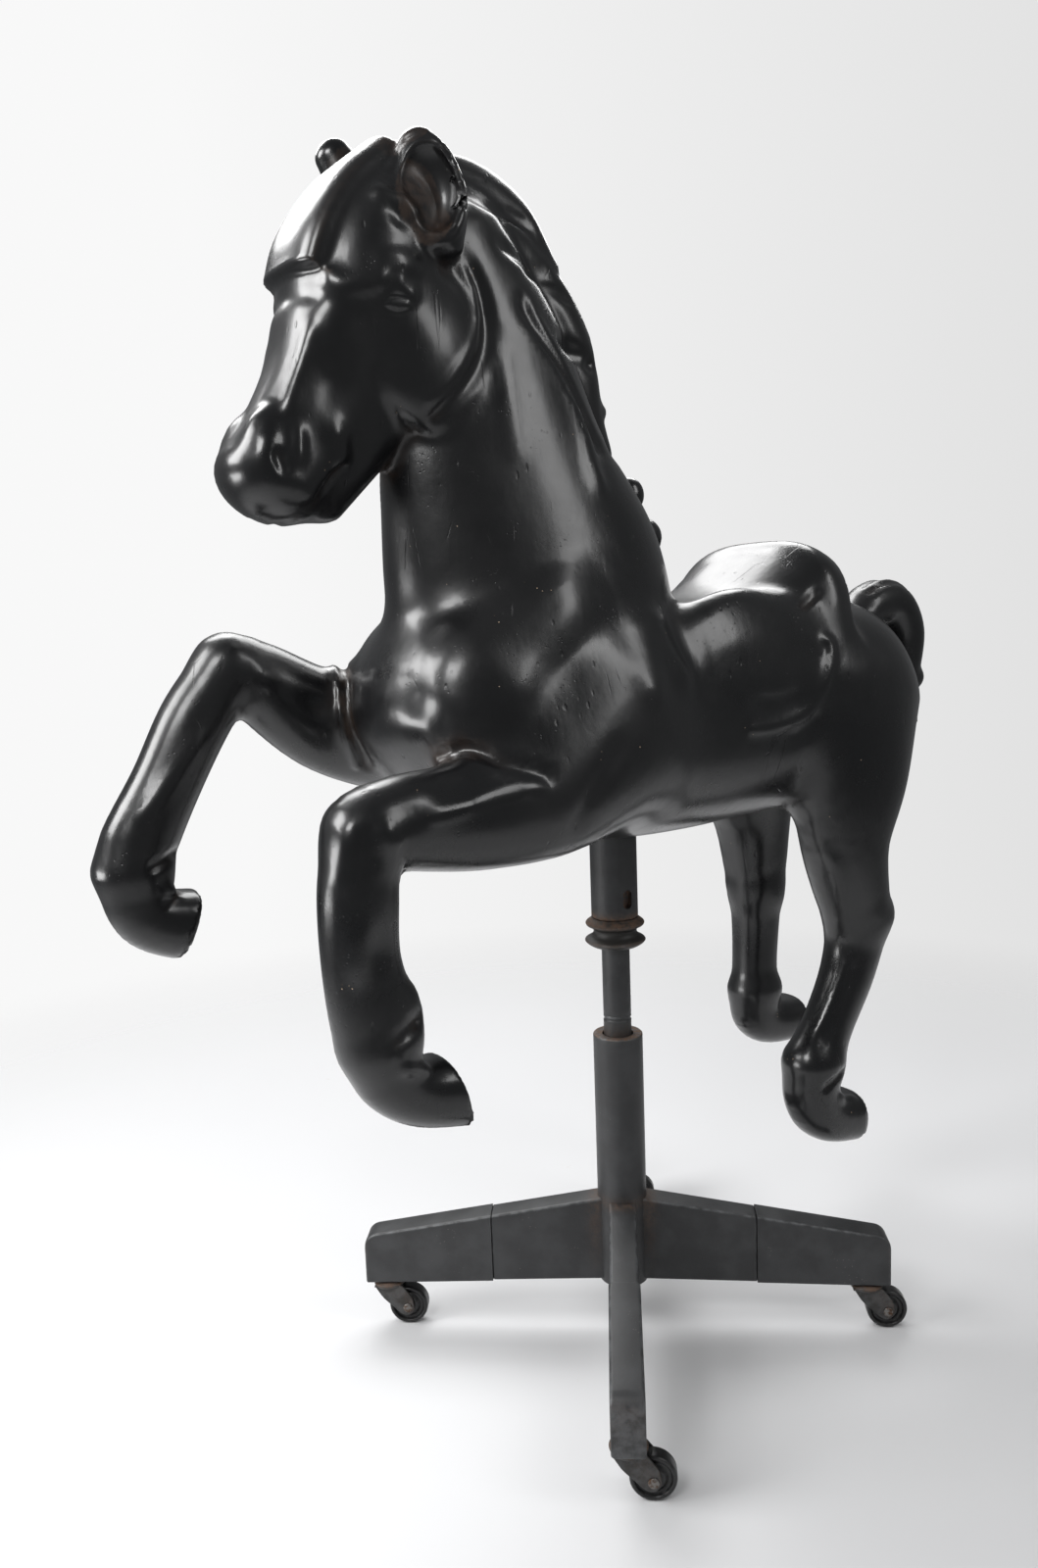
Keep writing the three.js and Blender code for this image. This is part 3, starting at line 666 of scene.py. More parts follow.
PARTS += [(Ball((side * 84, 92, 690), (32, 88, 66)), 26.0) for side in (1, -1)]
for leg in (FORE_LEFT, FORE_RIGHT, HIND_LEFT, HIND_RIGHT):
    PARTS += leg_parts(leg)
PARTS += [(TAIL, 12.0), (Ball((0, 462, 650), (25, 17, 19)), 5.0), (Ball((0, 458, 600), (20, 15, 17)), 5.0)]

EARS = []
for side, tip in ((1, (43, -216, 1106)), (-1, (57, -238, 1127))):
    shell = Limb([[52, -208, 1030, 20, 20, 26], [54, -208, 1058, 25, 23, 33], [50, -211, 1086, 23, 21, 30],
                  [*tip, 15, 14, 18]], side=side, cap=(0.6, 0.9))
    EARS.append((shell, Ball((side * 72, -224, 1070), (25, 26, 36), 0.1)))

# Chisel strokes, laid on the smooth form: (width, height, points), grooves with a negative height.
FACE = [
    (9, -3, [(-34, -306, 984), (0, -312, 988), (32, -306, 984), (48, -296, 978)]),   # shade under the plate
    (9, 4, [(47, -302, 992), (56, -292, 989), (66, -270, 994)]),                    # inner brow
    (7, 3.5, [(63, -252, 992), (63, -243, 988)]),                                   # brow over the eye
    (20, -3.5, [(60, -276, 966), (58, -266, 950)]),                                 # eye hollow
    (5, 2.2, [(62, -260, 978), (63, -247, 978)]),                                   # eyeball
    (2, -1.2, [(62, -268, 977), (63, -254, 984), (63, -239, 980)]),                 # lids
    (2, -1.0, [(62, -268, 976), (61, -254, 972), (62, -240, 977)]),
    (4, 1.5, [(66, -205, 1034), (55, -186, 1026), (49, -176, 1010), (51, -172, 990), (55, -178, 968),
              (60, -192, 945), (58, -210, 924), (48, -228, 906)]),                  # cheek rim
    (6, -4, [(60, -194, 1040), (47, -172, 1014), (46, -164, 990), (50, -167, 962), (56, -181, 935),
             (54, -203, 912), (40, -226, 894)]),
    (7, 2.5, [(38, -312, 970), (35, -322, 940), (33, -333, 910), (35, -343, 886)]),  # edge of the nose
    (13, -4, [(52, -292, 952), (46, -306, 916), (43, -318, 893)]),
    (8, 3, [(37, -357, 872), (37, -360, 862)]),                                     # nostril
    (4.5, -4.5, [(41, -351, 862), (42, -348, 853)]),
    (6, 3.5, [(39, -332, 892), (42, -334, 870), (43, -336, 850)]),
    (11, 4, [(38, -300, 880), (36, -297, 866)]),
    (3, -2.5, [(-19, -332, 816), (0, -338, 811), (19, -332, 816), (29, -325, 823), (34, -315, 836),
               (31, -301, 853), (26, -288, 864)]),
    (3.5, 2.5, [(48, -249, 1078), (40, -236, 1096), (46, -228, 1106), (58, -218, 1112), (68, -210, 1094),
                (75, -203, 1069), (75, -201, 1050), (71, -206, 1034), (66, -222, 1026)]),   # ear's rolled rim
    (7, 4, [(56, -261, 1060), (60, -248, 1056), (61, -236, 1050)]),                 # lobe
    (7, -3, [(52, -262, 1048), (58, -246, 1040), (64, -232, 1034)]),
]
BODY = [
    (9, 1.8, [(53, -154, 969), (58, -152, 929), (63, -150, 889), (67, -149, 857)]),
    (14, -3, [(58, -240, 668), (70, -230, 658)]),                                   # dent over the elbow
    (32, 2.5, [(100, -128, 740), (103, -152, 690), (112, -158, 650)]),                # shoulder muscle
    (16, 4, [(110, -50, 723), (121, -50, 698), (131, -58, 674)]),
    (15, 5, [(104, -28, 728), (114, -23, 704), (119, -12, 680)]),                   # front roll of the saddle
    (9, -3, [(134, -92, 640), (136, -112, 612), (135, -137, 585), (124, -154, 550)]),
    (5, 3.5, [(121, 168, 712), (115, 184, 698), (120, 178, 678), (119, 166, 654), (117, 147, 634),
              (119, 101, 625), (118, 60, 625)]),
    (10, -4, [(122, 150, 664), (120, 128, 650), (119, 100, 646), (118, 60, 650)]),
    (8, -4, [(124, 176, 640), (120, 150, 616), (119, 110, 608)]),
    (4, -5, [(112, 184, 758), (106, 168, 742), (100, 152, 730)]),
                      # crease at the cantle's corner
]
NEAR = [
    # strands of the tail
    (4, -4, [(16, 368, 748), (18, 400, 764), (20, 434, 758), (20, 458, 724), (18, 466, 676)]),
    (4, -4, [(0, 372, 757), (0, 405, 768), (0, 444, 760), (0, 476, 716), (0, 476, 668)]),
    (6, -6, [(48, -128, 1010), (55, -118, 985), (57, -106, 969), (58, -93, 954), (60, -76, 930),
             (58, -62, 900), (56, -50, 868)]),
    (7, -4, [(34, -163, 1077), (25, -137, 1080), (10, -101, 1082), (0, -73, 1069)]),  # strands of the mane
    (7, -3.5, [(45, -153, 1044), (43, -136, 1043), (34, -110, 1038), (10, -62, 1041)]),
    (6, -3.5, [(42, -119, 1027), (26, -90, 1029), (13, -60, 1023), (4, -38, 1012)]),
    (8, -6, [(50, -90, 974), (40, -70, 972), (14, -43, 972), (0, -26, 966), (-24, -20, 958)]),
    (8, -5, [(44, -40, 882), (24, -8, 880), (4, 8, 876), (-18, 10, 870)]),
    (9, 4, [(50, -124, 996), (53, -109, 974), (54, -90, 947), (58, -75, 911), (69, -70, 864),
            (77, -60, 830)]),
    (5, -5, [(60, -228, 632), (77, -226, 631), (91, -222, 630), (113, -212, 622), (122, -194, 616),
             (128, -180, 611), (134, -166, 601)]),
    (7, 4, [(130, -300, 588), (130, -260, 592), (128, -225, 598), (132, -190, 600), (134, -171, 597)]),
    (12, -4, [(118, -290, 606), (118, -245, 612), (116, -218, 614)]),
    (12, 3, [(118, -352, 578), (115, -357, 552)]),
    (7, 4, [(131, -326, 582), (130, -320, 574)]),
    (6, -3, [(127, -340, 582), (127, -338, 562)]),
    (8, 3, [(122, -350, 524), (119, -351, 462)]),
    (7, -2.5, [(125, -336, 516), (123, -330, 470)]),
    (12, 5, [(104, -296, 446), (100, -294, 434)]),
    (4, -7, [(125, -331, 414), (124, -320, 421), (121, -309, 426), (106, -297, 428)]),
    (5, 4.5, [(124, -326, 402), (122, -312, 394), (117, -298, 389), (112, -284, 385)]),
    (8, 3, [(99, 187, 502), (112, 200, 468), (111, 212, 430), (106, 222, 390)]),
    (2.5, 2.2, [(108, 221, 369), (105, 208, 340), (104, 191, 312), (104, 166, 282)]),
    (4, -4, [(111, 232, 368), (108, 218, 338), (106, 201, 308), (105, 178, 284)]),
    (4, -6, [(114, 172, 243), (120, 188, 252), (112, 206, 260)]),
    (5, 4, [(119, 194, 234), (120, 214, 228), (116, 238, 224)]),
]
FAR = [
    (6, 4, [(-69, -380, 655), (-69, -409, 618), (-70, -427, 597), (-72, -448, 578)]),
    (9, 4, [(-65, -335, 696), (-65, -328, 690)]),
    (5, -3, [(-64, -303, 678), (-63, -285, 664), (-62, -273, 653)]),
    (4, -7, [(-66, -444, 541), (-67, -432, 545), (-74, -418, 549), (-90, -409, 552)]),
    (5, 4.5, [(-64, -436, 520), (-66, -420, 521), (-72, -404, 522)]),
    (4, -6, [(-118, -215, 684), (-90, -238, 693), (-62, -246, 680), (-50, -248, 650), (-52, -242, 620),
             (-62, -234, 600)]),
    (4, 3, [(-118, -225, 686), (-90, -250, 696), (-64, -257, 682), (-55, -258, 650), (-57, -252, 618),
            (-66, -244, 600)]),
    (8, 3, [(-99, 244, 502), (-112, 252, 468), (-110, 264, 430), (-106, 270, 390)]),
    (4, -6, [(-114, 282, 262), (-120, 298, 270), (-112, 316, 280)]),
    (5, 4, [(-119, 306, 256), (-120, 330, 254), (-116, 350, 252)]),
]
STROKES = []        # filled once the smooth form can be asked where its surface lies


def form(p):
    """Signed distance to the carved horse, in mm: one smooth union of limbs and balls, with the ears' bowls
    taken out and the strokes' heights taken off the distance."""
    d = np.full(len(p), 300.0)
    for k, (part, blend) in enumerate(PARTS):
        m = np.all((p > part.low) & (p < part.high), axis=1)
        if m.any():
            v = part(p[m])
            d[m] = v if k == 0 else blend_min(d[m], v, max(blend, 1.0))
    for shell, bowl in EARS:
        m = np.all((p > shell.low) & (p < shell.high), axis=1)
        if m.any():
            v = blend_max(shell(p[m]), -bowl(p[m]), 5.0)
            d[m] = blend_min(d[m], v, 7.0)
    for stroke in STROKES:
        q = p
        if stroke.both:
            q = p.copy()
            q[:, 0] = np.abs(q[:, 0])
        m = np.all((q > stroke.low) & (q < stroke.high), axis=1)
        if m.any():
            d[m] -= stroke(q[m])
    return d


def slope_of(p, reach=0.6):
    """The form's gradient, by differences over a short reach."""
    steps = [form(p + reach * axis) - form(p - reach * axis) for axis in np.eye(3)]
    return np.stack(steps, -1) / (2 * reach)


def settled(p, limit, rounds=2):
    """Points moved onto the surface by Newton steps: p - d * g / |g|^2."""
    for _ in range(rounds):
        d, g = form(p), slope_of(p)
        p = p - (np.clip(d, -limit, limit) / np.maximum((g ** 2).sum(1), 0.05))[:, None] * g
    return p


def lay(strokes, both):
    """Strokes with their points first brought onto the smooth form."""
    rows = [settled(np.array(points, float), 30.0, 4) for _, _, points in strokes]
    return [Stroke(p, width, height, both) for p, (width, height, _) in zip(rows, strokes)]


STROKES = lay(FACE, True) + lay(BODY, True) + lay(NEAR, False) + lay(FAR, False)


# ---- from the form to a mesh ----
def surface_nets(values, low, cell):
    """One vertex in each grid cell that the surface crosses, at the mean of its edge crossings, and one quad
    around each crossed grid edge."""
    inside = values < 0
    corners = [(x, y, z) for x in (0, 1) for y in (0, 1) for z in (0, 1)]
    size = np.array(values.shape)
    count = sum(inside[x:size[0] - 1 + x, y:size[1] - 1 + y, z:size[2] - 1 + z].astype(np.int8)
                for x, y, z in corners)
    active = (count > 0) & (count < 8)
    cells = np.argwhere(active)
    index = np.full(count.shape, -1)
    index[active] = np.arange(len(cells))
    total, hits = np.zeros((len(cells), 3)), np.zeros(len(cells))
    for corner in corners:
        for axis in np.flatnonzero(np.array(corner) == 0):
            step = np.eye(3, dtype=int)[axis]
            a = values[tuple((cells + corner).T)]
            b = values[tuple((cells + corner + step).T)]
            crossed = (a < 0) != (b < 0)
            share = np.where(crossed, a / (a - b + 1e-30), 0)
            total[crossed] += (np.array(corner) + share[:, None] * step)[crossed]
            hits[crossed] += 1
    verts = (cells + total / hits[:, None]) * cell + low
    quads = []
    for axis in range(3):
        u, v = np.eye(3, dtype=int)[(axis + 1) % 3], np.eye(3, dtype=int)[(axis + 2) % 3]
        first = inside.take(range(size[axis] - 1), axis)
        second = inside.take(range(1, size[axis]), axis)
        edges = np.argwhere(first != second)
        ring = [index[tuple((edges - a * u - b * v).T)] for a, b in ((1, 1), (0, 1), (0, 0), (1, 0))]
        quad = np.stack(ring, -1)
        outward = first[tuple(edges.T)]
        quad[~outward] = quad[~outward][:, ::-1]
        quads.append(quad)
    return verts, np.vstack(quads)


def sampled(low, high, cell, band=34.0, coarse=4):
    """The form on a grid: a coarse grid everywhere, and the fine one only in the band around the surface."""
    low = np.array(low, float)
    blocks = np.ceil((np.array(high) - low) / (cell * coarse)).astype(int) + 1

    def points(counts, pitch):
        """Every point of a grid that starts at the low corner."""
        axes = [low[k] + np.arange(counts[k]) * pitch for k in range(3)]
        return np.stack(np.meshgrid(*axes, indexing='ij'), -1).reshape(-1, 3)

    def spread(blocky):
        """Each coarse value repeated over its block of fine cells."""
        return blocky.repeat(coarse, 0).repeat(coarse, 1).repeat(coarse, 2)

    rough = form(points(blocks, cell * coarse)).reshape(blocks)
    fine = blocks * coarse
    values = spread(rough)
    close = spread(np.abs(rough) < band + cell * coarse).reshape(-1)
    grid = points(fine, cell)[close]
    flat = values.reshape(-1)
    batches = np.array_split(grid, max(1, len(grid) // BATCH))
    flat[close] = np.concatenate([form(batch) for batch in batches])
    return flat.reshape(fine), low


def refined(verts, faces, wanted):
    """Edges whose middles the test wants are halved, and their faces filled with a finer grid."""
    mesh = bpy.data.meshes.new("carving_work")
    mesh.from_pydata(verts.tolist(), [], [list(f) for f in faces])
    work = bmesh.new()
    work.from_mesh(mesh)
    bpy.data.meshes.remove(mesh)
    ends = np.array([[v.index for v in edge.verts] for edge in work.edges])
    middle = verts[ends].mean(1)
    work.edges.ensure_lookup_table()
    chosen = [work.edges[k] for k in np.flatnonzero(wanted(middle))]
    bmesh.ops.subdivide_edges(work, edges=chosen, cuts=1, use_grid_fill=True)
    bmesh.ops.triangulate(work, faces=[f for f in work.faces if len(f.verts) > 4])
    verts = np.array([v.co for v in work.verts])
    faces = [[v.index for v in f.verts] for f in work.faces]
    work.free()
    return verts, faces


def near_any(zones):
    """True within any of the zones, each a centre and three half sizes."""
    def test(p):
        """Whether each point lies in a zone, by ((p - centre) / half)^2 < 1."""
        inside = np.zeros(len(p), bool)
        for centre, half in zones:
            inside |= (((p - np.array(centre)) / np.array(half)) ** 2).sum(1) < 1
        return inside
    return test


MIDDLING_ZONES = [((0, -262, 990), (100, 130, 175)), ((4, -70, 965), (55, 120, 150)),
                  ((6, 30, 828), (28, 34, 40)),
                  ((105, 180, 735), (40, 50, 50)), ((-105, 180, 735), (40, 50, 50)),
                  ((95, -290, 385), (45, 60, 50)),
                  ((-95, -425, 515), (45, 60, 50)), ((93, 210, 232), (45, 60, 45)),
                  ((-93, 325, 255), (45, 60, 45)),
                  ((0, 450, 690), (40, 50, 80)), ((84, -240, 640), (50, 40, 50)),
                  ((-84, -245, 650), (50, 40, 60))]
CARVED_SPAN = ((-186, -530, 126), (186, 520, 1176))
FINE_ZONES = [((58, -226, 1060), (26, 36, 56)), ((-60, -230, 1066), (24, 36, 60)),
              ((0, -340, 860), (50, 34, 42)),
              ((52, -262, 984), (24, 36, 24)), ((-52, -262, 984), (24, 36, 24))]


def carve():
    """The carved surface: one grid all over, half its pitch on the detailed parts, and a quarter on the ears,
    eyes and muzzle."""
    values, low = sampled(*CARVED_SPAN, CELL)
    verts, faces = surface_nets(values, low, CELL)
    verts = settled(verts, CELL)
    verts, faces = refined(verts, faces, near_any(MIDDLING_ZONES))
    verts = settled(verts, CELL / 2, 1)
    verts, faces = refined(verts, faces, near_any(FINE_ZONES))
    return settled(verts, CELL / 2), faces


# ---- the stand ----
COLUMN_R, COLUMN_TOP, BORE = 25.0, 316.0, 15.0
MOUNT_R, MOUNT_BOTTOM, MOUNT_TOP, SLOT_Z = 23.3, 437.3, 560.0, 458.0
COLLAR_LOW, COLLAR_TOP = 407.0, 437.0
SPINDLE_R, GROOVE_Z, NICK_Z = 14.0, 332.5, 336.4
ARM_START, ARM_SEAM, ARM_END, ARM_CORNER = 20.0, 136.0, 270.0, 12.0
ARM_HALF, COVER_HALF, SHEET = 13.6, 14.8, 0.8
HEADINGS = {"right": 0.8727, "front": -0.6981, "left": -2.2689, "back": 2.4435}
CASTER_RADIUS, TRAIL, TRAIL_HEADING = 248.0, 20.0, 0.8727
WHEEL_R, WHEEL_HALF, PIN_HALF = 20.3, 8.2, 13.8
CUP_LOW, CUP_TOP, STEM_TOP = 41.5, 48.2, 60


def column():
    """A turned tube with a rounded rim, solid below the bore's foot, with a ring every 4 mm or so."""
    foot, bore_foot = 52, 200
    rim = rounded([(COLUMN_R, foot), (COLUMN_R, COLUMN_TOP), (BORE + 0.2, COLUMN_TOP),
                   (BORE + 0.2, bore_foot)], 1.6)
    profile = np.vstack([[[0, foot]], rim[2:-2], [[BORE, bore_foot], [0, bore_foot]]])
    steps = [np.linspace(a, b, 1 + max(1, int(abs(b - a).max() / 4)), endpoint=False)
             for a, b in zip(profile[:-1], profile[1:])]
    verts, faces = turned(np.vstack(steps + [profile[-1:]]), 96)
    z, r = verts[:, 2], np.hypot(verts[:, 0], verts[:, 1])
    rust = np.clip((z - COLUMN_TOP + 1) / 0.8, 0, 1) + 0.3 * np.exp(-((z - 142) / 7) ** 2)
    edge = np.exp(-((z - COLUMN_TOP) / 1.2) ** 2) * (r > 23)
    return new_piece("column_tube_dressed", verts, faces, "stand", "column_tube", STEEL,
                     {"rust": rust, "edge": edge})


def mount_tube():
    """A turned tube. Its slot, two round holes run together into an oval, is bored through one wall."""
    z = np.concatenate([np.linspace(MOUNT_BOTTOM, MOUNT_BOTTOM + 1.2, 4),
                        np.arange(MOUNT_BOTTOM + 3, MOUNT_TOP, 3), [MOUNT_TOP]])
    outer = np.stack([np.minimum(MOUNT_R, MOUNT_R - 1 + (z - MOUNT_BOTTOM)), z], -1)
    inner = np.stack([np.full_like(z, BORE), z], -1)[::-1]
    verts, faces = turned(np.vstack([outer, inner]), 120, bore=True)
    rust = 1.1 * np.exp(-((verts[:, 2] - MOUNT_BOTTOM) / 5) ** 2)
    tube = new_piece("mount_tube_dressed", verts, faces, "horse_top", "mount_tube", STEEL,
                     {"rust": rust, "edge": 0 * rust})
    n, hole_r, half_gap = 40, 5.2, 4.2
    turn = np.linspace(0, 2 * np.pi, n, endpoint=False)
    across, up = hole_r * np.cos(turn), hole_r * np.sin(turn) + np.sign(np.sin(turn)) * half_gap
    rings = [np.stack([np.full(n, x), across, up], -1) for x in (17.0, 29.0)]
    tool_verts = turned_about(np.vstack(rings), -0.1, (0, 0, SLOT_Z)) * MM + AXIS
    tool = bpy.data.meshes.new("slot_tool")
    sides = [(k, (k + 1) % n, n + (k + 1) % n, n + k) for k in range(n)]
    tool.from_pydata(tool_verts.tolist(), [], sides + [tuple(range(n - 1, -1, -1)), tuple(range(n, 2 * n))])
    cutter = bpy.data.objects.new("slot_tool", tool)
    bpy.context.collection.objects.link(cutter)
    drill = tube.modifiers.new("slot", 'BOOLEAN')
    drill.operation, drill.object, drill.solver = 'DIFFERENCE', cutter, 'EXACT'
    bpy.context.view_layer.update()
    pierced = bpy.data.meshes.new_from_object(tube.evaluated_get(bpy.context.evaluated_depsgraph_get()))
    tube.modifiers.clear()
    tube.data = pierced
    bpy.data.objects.remove(cutter)
    return tube


def collar():
    """Two pressed flanges with a deep round waist between them."""
    low, top = COLLAR_LOW, COLLAR_TOP
    lower = [(BORE, low), (22, low), (28.5, low + 4), (30.6, low + 6.6), (29.4, low + 8.4),
             (23.5, low + 11.5),
             (21.6, low + 14.5)]
    upper = [(21.6, top - 13), (23.5, top - 10.5), (28.6, top - 8), (29.6, top - 5.6), (28.4, top - 4),
             (24.5, top - 1.2), (23.6, top), (BORE, top)]
    outline = rounded(lower + upper, 3.0, 5)
    verts, faces = turned(outline, 96, bore=True)
    z, r = verts[:, 2], np.hypot(verts[:, 0], verts[:, 1])
    rust = np.clip((z - top + 9) / 4, 0, 1) * np.clip((r - 20) / 6, 0, 1)
    rust = rust + 0.4 * np.clip((r - 28.3) / 2, 0, 1) * (z < low + 10)
    return new_piece("collar_dressed", verts, faces, "horse_top", "collar", RUST,
                     {"rust": rust, "edge": np.clip((r - 29.2) / 1.4, 0, 1)})


def spindle():
    """A turned bar with one ring groove and one fine nick just above the column."""
    r = SPINDLE_R
    profile = [[0, 62], [r - 1, 62], [r, 63]] + [[r, z] for z in np.arange(70, 328, 6)]
    profile += [[r, GROOVE_Z - 2], [r - 0.8, GROOVE_Z - 1.1], [r - 1, GROOVE_Z], [r - 0.8, GROOVE_Z + 0.9],
                [r, GROOVE_Z + 1.7], [r, NICK_Z - 0.6], [r - 0.4, NICK_Z], [r, NICK_Z + 0.8]]
    profile += [[r, z] for z in np.arange(343, 548, 6)] + [[r, 548], [0, 548]]
    verts, faces = turned(profile, 72)
    edge = 1.4 * np.exp(-((verts[:, 2] - 335) / 1.1) ** 2)
    rust = 0.5 * np.exp(-((verts[:, 2] - COLUMN_TOP - 2) / 4) ** 2)
    return new_piece("spindle_dressed", verts, faces, "horse_top", "spindle", STEEL,
                     {"rust": rust, "edge": edge})


def arm_piece(name, side, start, end, half, grow, node, turned_down):
    """Bent sheet: a rounded rectangle carried outwards from r = start to r = end, while its top and bottom
    fall in straight lines. Over the last stretch of a cover the top bends down by 1 - sqrt(1 - s^2)."""
    fillet, steps = 3.2, 6
    r = np.unique(np.concatenate([np.arange(start, end, 4), end - np.geomspace(0.05, ARM_CORNER, 12)]))
    top = 143 - 42 * (r - 24) / 246 + grow
    low = 55 - 5.3 * (r - 24) / 246 - grow
    if turned_down:
        bend = np.clip((r - (end - ARM_CORNER)) / ARM_CORNER, 0, 1)
        top = top - ARM_CORNER * (1 - np.sqrt(1 - bend ** 2)) * 0.9
    lip = np.clip((r - (end - 1.5)) / 1.5, 0, 1)
    edge_cut = 1.4 * (1 - np.sqrt(1 - lip ** 2))
    turn = np.linspace(0, np.pi / 2, steps)
    verts, edge = [], []
    for cy, cz, begin in ((1, 1, 0), (-1, 1, 1), (-1, -1, 2), (1, -1, 3)):
        angle = begin * np.pi / 2 + turn
        y = cy * (half - fillet) + fillet * np.cos(angle) - np.sign(cy) * edge_cut[:, None]
        base = np.where(cz > 0, top - fillet - edge_cut, low + fillet + edge_cut)[:, None]
        z = base + fillet * np.sin(angle)
        x = r[:, None] + 0 * y
        verts.append(np.stack([x, y, z], -1))
        rubbed = np.exp(-((angle - (begin + 0.5) * np.pi / 2) / 0.42) ** 2)[None]
        edge.append(np.where(cz > 0, 1.0, 0.0) * rubbed + 0 * y)
    ring = np.concatenate(verts, 1)
    count = ring.shape[1]
    edge = np.concatenate(edge, 1)
    edge = np.maximum(edge, np.clip((r - end + 3) / 3, 0, 1)[:, None] * 0.7)
    points = ring.reshape(-1, 3)
    faces = [tuple(f) for f in grid_faces(len(r), count)]
    faces += [tuple(range(count))[::-1], tuple(range((len(r) - 1) * count, len(r) * count))]
    out, z = ring[..., 0], ring[..., 2]
    at_weld = np.exp(-((out - 27) / 7) ** 2) * np.clip((z - 120) / 18, 0, 1)
    at_end = np.exp(-((out - end) / 3) ** 2) * np.clip((z - 60) / 30, 0, 1) * turned_down
    rust = at_weld * 0.55 + 0.12 * at_end
    return new_piece(name, turned_about(points, HEADINGS[side]), [f[::-1] for f in faces],
                     "stand", node, STEEL,
                     {"edge": edge.reshape(-1), "rust": rust.reshape(-1)}, sharp=50)


def placed(verts, side):
    """From a caster's own frame, with x along its trail, to the stand's."""
    heading = HEADINGS[side]
    centre = (CASTER_RADIUS * math.cos(heading), CASTER_RADIUS * math.sin(heading), 0)
    return turned_about(np.asarray(verts, float), TRAIL_HEADING, centre)


def slab(outline, low, high, round_edge=0.5):
    """A flat plate: its outline in x, z carried along y, with the rim pulled in at both faces."""
    outline = np.asarray(outline, float)
    middle = outline.mean(0)
    inset = outline + (middle - outline) / np.linalg.norm(middle - outline, axis=1)[:, None] * round_edge
    layers = [(inset, low), (outline, low + round_edge), (outline, high - round_edge), (inset, high)]
    verts = np.vstack([np.stack([o[:, 0], np.full(len(o), y), o[:, 1]], -1) for o, y in layers])
    n = len(outline)
    faces = [tuple(f) for f in grid_faces(4, n)] + [tuple(range(n))[::-1], tuple(range(3 * n, 4 * n))]
    return verts, [f[::-1] for f in faces]


def joined(parts):
    """Several (verts, faces) as one."""
    verts, faces, start = [], [], 0
    for v, f in parts:
        verts.append(v)
        faces += [tuple(k + start for k in face) for face in f]
        start += len(v)
    return np.vstack(verts), faces


def laid_on_axle(verts):
    """A turned piece laid along the axle: (x, y, z) goes to (x, z, -y), about the wheel's centre."""
    return verts[:, [0, 2, 1]] * (1, 1, -1) + (TRAIL, 0, WHEEL_R)


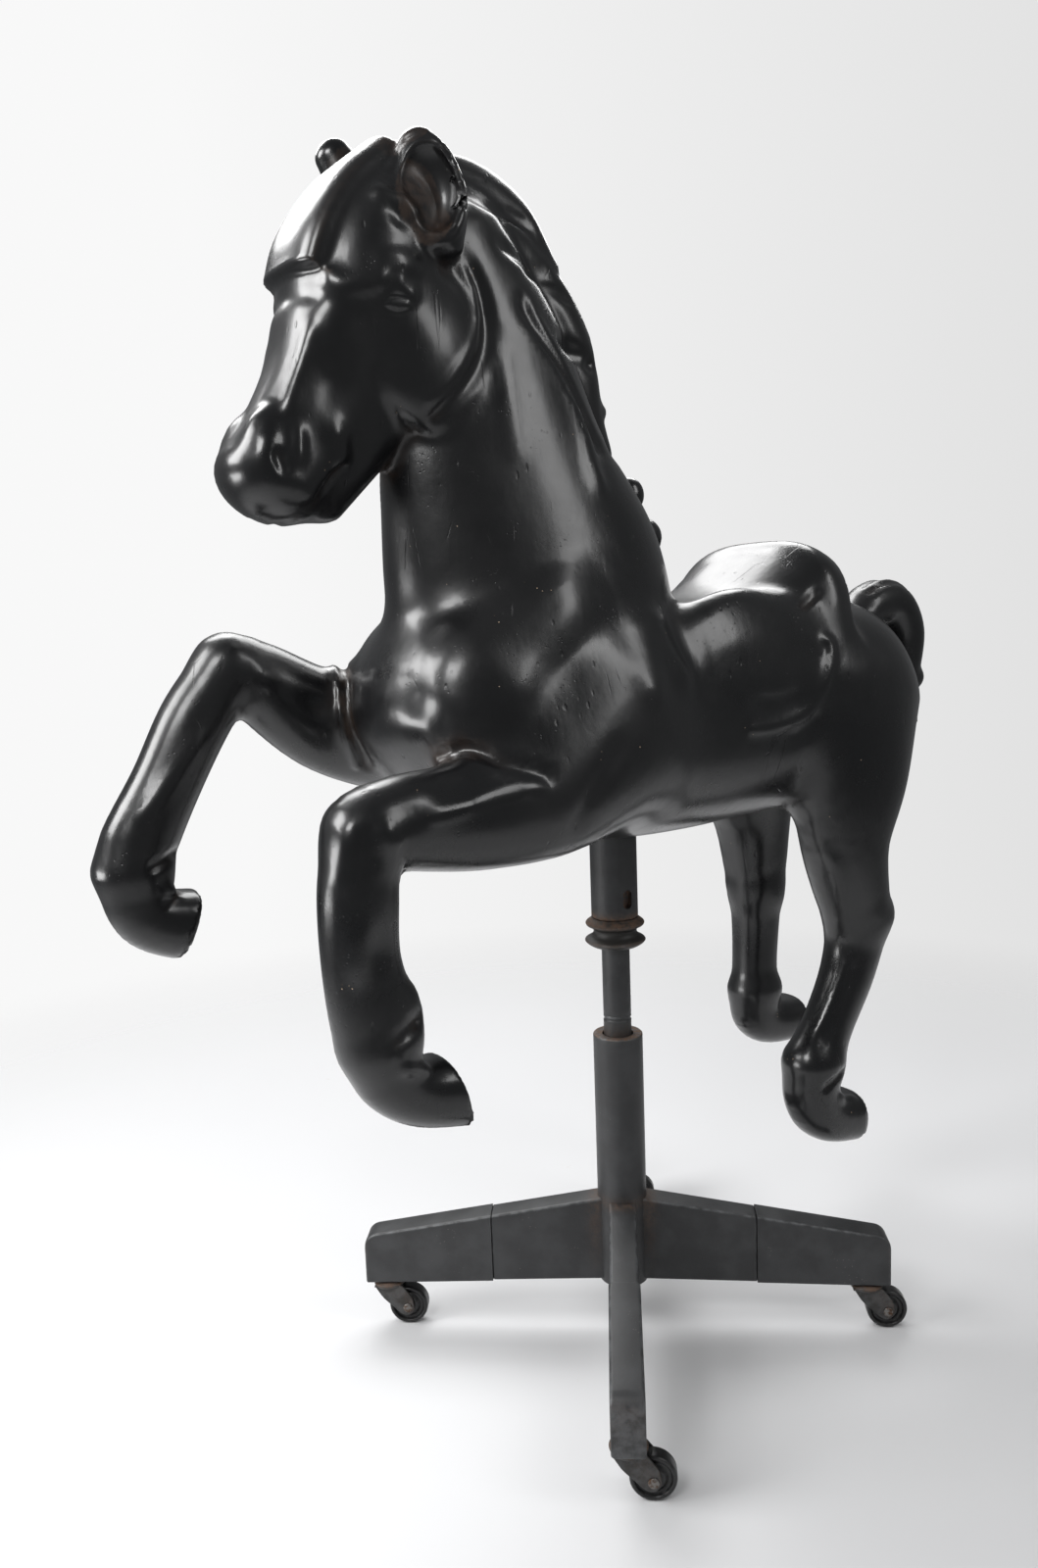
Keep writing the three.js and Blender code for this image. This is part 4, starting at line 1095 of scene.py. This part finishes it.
def caster(side):
    """One swivel caster: a turned cup with two flat cheeks and a crown, a turned wheel and a turned rivet."""
    cup = rounded([(0.5, CUP_LOW), (14.5, CUP_LOW), (16.6, 44), (16.8, 46.4), (13.5, CUP_TOP), (5.2, CUP_TOP),
                   (5.0, STEM_TOP), (0.5, STEM_TOP)], 1.4, 5)[3:-3]
    cup_verts, cup_faces = turned([(0, CUP_LOW)] + [tuple(p) for p in cup] + [(0, STEM_TOP)], 48)
    cheek = rounded([(-15, 45.4), (-6, 31), (11, 15), (16, 11.5), (22, 11.8), (26.3, 17), (26.5, 22),
                     (25, 31),
                     (20, 38), (14, 45.4)], 4.0, 5)
    cheeks = [slab(cheek, 9.4, 11.6), slab(cheek, -11.6, -9.4)]
    crown = rounded([(-15, 42.4), (-14, 44.6), (13, 44.6), (15, 42.4)], 1.0, 4)
    bridge = slab(crown, -11.0, 11.0, 0.3)
    verts, faces = joined([(cup_verts, cup_faces), *cheeks, bridge])
    z, r = verts[:, 2], np.hypot(verts[:, 0], verts[:, 1])
    rust = np.clip((z - 43.5) / 3, 0, 1) * 0.9 + 0.3 * np.clip((r - 22) / 6, 0, 1)
    edge = np.clip((np.abs(verts[:, 1]) - 11.0) / 0.5, 0, 1) * 0.5 * (np.abs(verts[:, 1]) > 10.9)
    new_piece(f"caster_fork_{side}_dressed", placed(verts, side), faces, f"caster_{side}",
              f"caster_fork_{side}", RUST, {"rust": rust, "edge": edge}, sharp=40)

    half = [(3.6, -7.4), (9.5, -7.4), (10.5, -6.4), (12.5, -4.6), (15.2, -4.6), (16.6, -7.6),
            (19.0, -WHEEL_HALF + 0.4), (WHEEL_R, -5.6)]
    section = rounded(half + [(r, -y) for r, y in half[::-1]], 0.9, 4)
    wheel, wheel_faces = turned(section, 72, bore=True)
    new_piece(f"caster_wheel_{side}_dressed", placed(laid_on_axle(wheel), side), wheel_faces, f"wheel_{side}",
              f"caster_wheel_{side}", TYRE, sharp=50)

    half = [(0.4, -PIN_HALF), (2.6, -PIN_HALF), (4.6, -13.0), (4.9, -12.0), (3.2, -11.8)]
    section = rounded(half + [(r, -y) for r, y in half[::-1]], 0.7, 4)[3:-3]
    rivet, rivet_faces = turned([(0, -PIN_HALF)] + [tuple(p) for p in section] + [(0, PIN_HALF)], 32)
    new_piece(f"caster_axle_{side}_dressed", placed(laid_on_axle(rivet), side), rivet_faces, f"caster_{side}",
              f"caster_axle_{side}", PIN)


# ---- the horse ----
def horse():
    """The carving. Its paint is worn in the ears, on the poll, and where the form is hollow, which shows in
    how little the distance grows over 9 mm outwards."""
    verts, faces = carve()
    reach = 9.0
    open_share = form(verts + reach * normal_of(verts)) / reach
    wear = np.clip((0.75 - open_share) * 2.2, 0, 1) * 0.5
    ear = near_any([((66, -226, 1062), (22, 24, 38)), ((-66, -226, 1062), (22, 24, 38))])(verts) * 0.6
    poll = near_any([((0, -225, 1112), (60, 40, 26))])(verts) * 0.3
    wear = np.maximum(wear, np.maximum(ear, poll))
    return new_piece("carved_horse", verts, faces, "horse_top", "horse", PAINT,
                     {"wear": wear}, sharp=None)


def normal_of(p):
    """The form's gradient at length one."""
    g = slope_of(p)
    return g / np.maximum(np.linalg.norm(g, axis=1), 1e-6)[:, None]


PAINT = gloss_black()
STEEL = stand_paint("satin_black_steel", (0.020, 0.0205, 0.0215))
RUST = stand_paint("rusty_black_steel", (0.015, 0.014, 0.013), rough=0.46)
TYRE = wheel_plastic()
PIN = rivet_steel()

horse()
column()
mount_tube()
collar()
spindle()
for side in HEADINGS:
    arm_piece(f"arm_{side}_dressed", side, ARM_START, ARM_SEAM, ARM_HALF, 0.0, f"arm_{side}", False)
    arm_piece(f"arm_cover_{side}_dressed", side, ARM_SEAM + 0.3, ARM_END, COVER_HALF, SHEET,
              f"arm_cover_{side}", True)
    caster(side)


def floor():
    """A disc of floor just under the stand, in metres, far wider than the object. Its rim is clear."""
    corners, radius, drop = 64, 3, 0.0002
    mesh = bpy.data.meshes.new("floor")
    turn = np.linspace(0, 2 * np.pi, corners, endpoint=False)
    rim = np.stack([radius * np.cos(turn), radius * np.sin(turn), 0 * turn - drop], -1)
    mesh.from_pydata(rim.tolist(), [], [tuple(range(corners))])
    disc = bpy.data.objects.new("floor", mesh)
    bpy.context.collection.objects.link(disc)
    disc.data.materials.append(studio_floor())


floor()
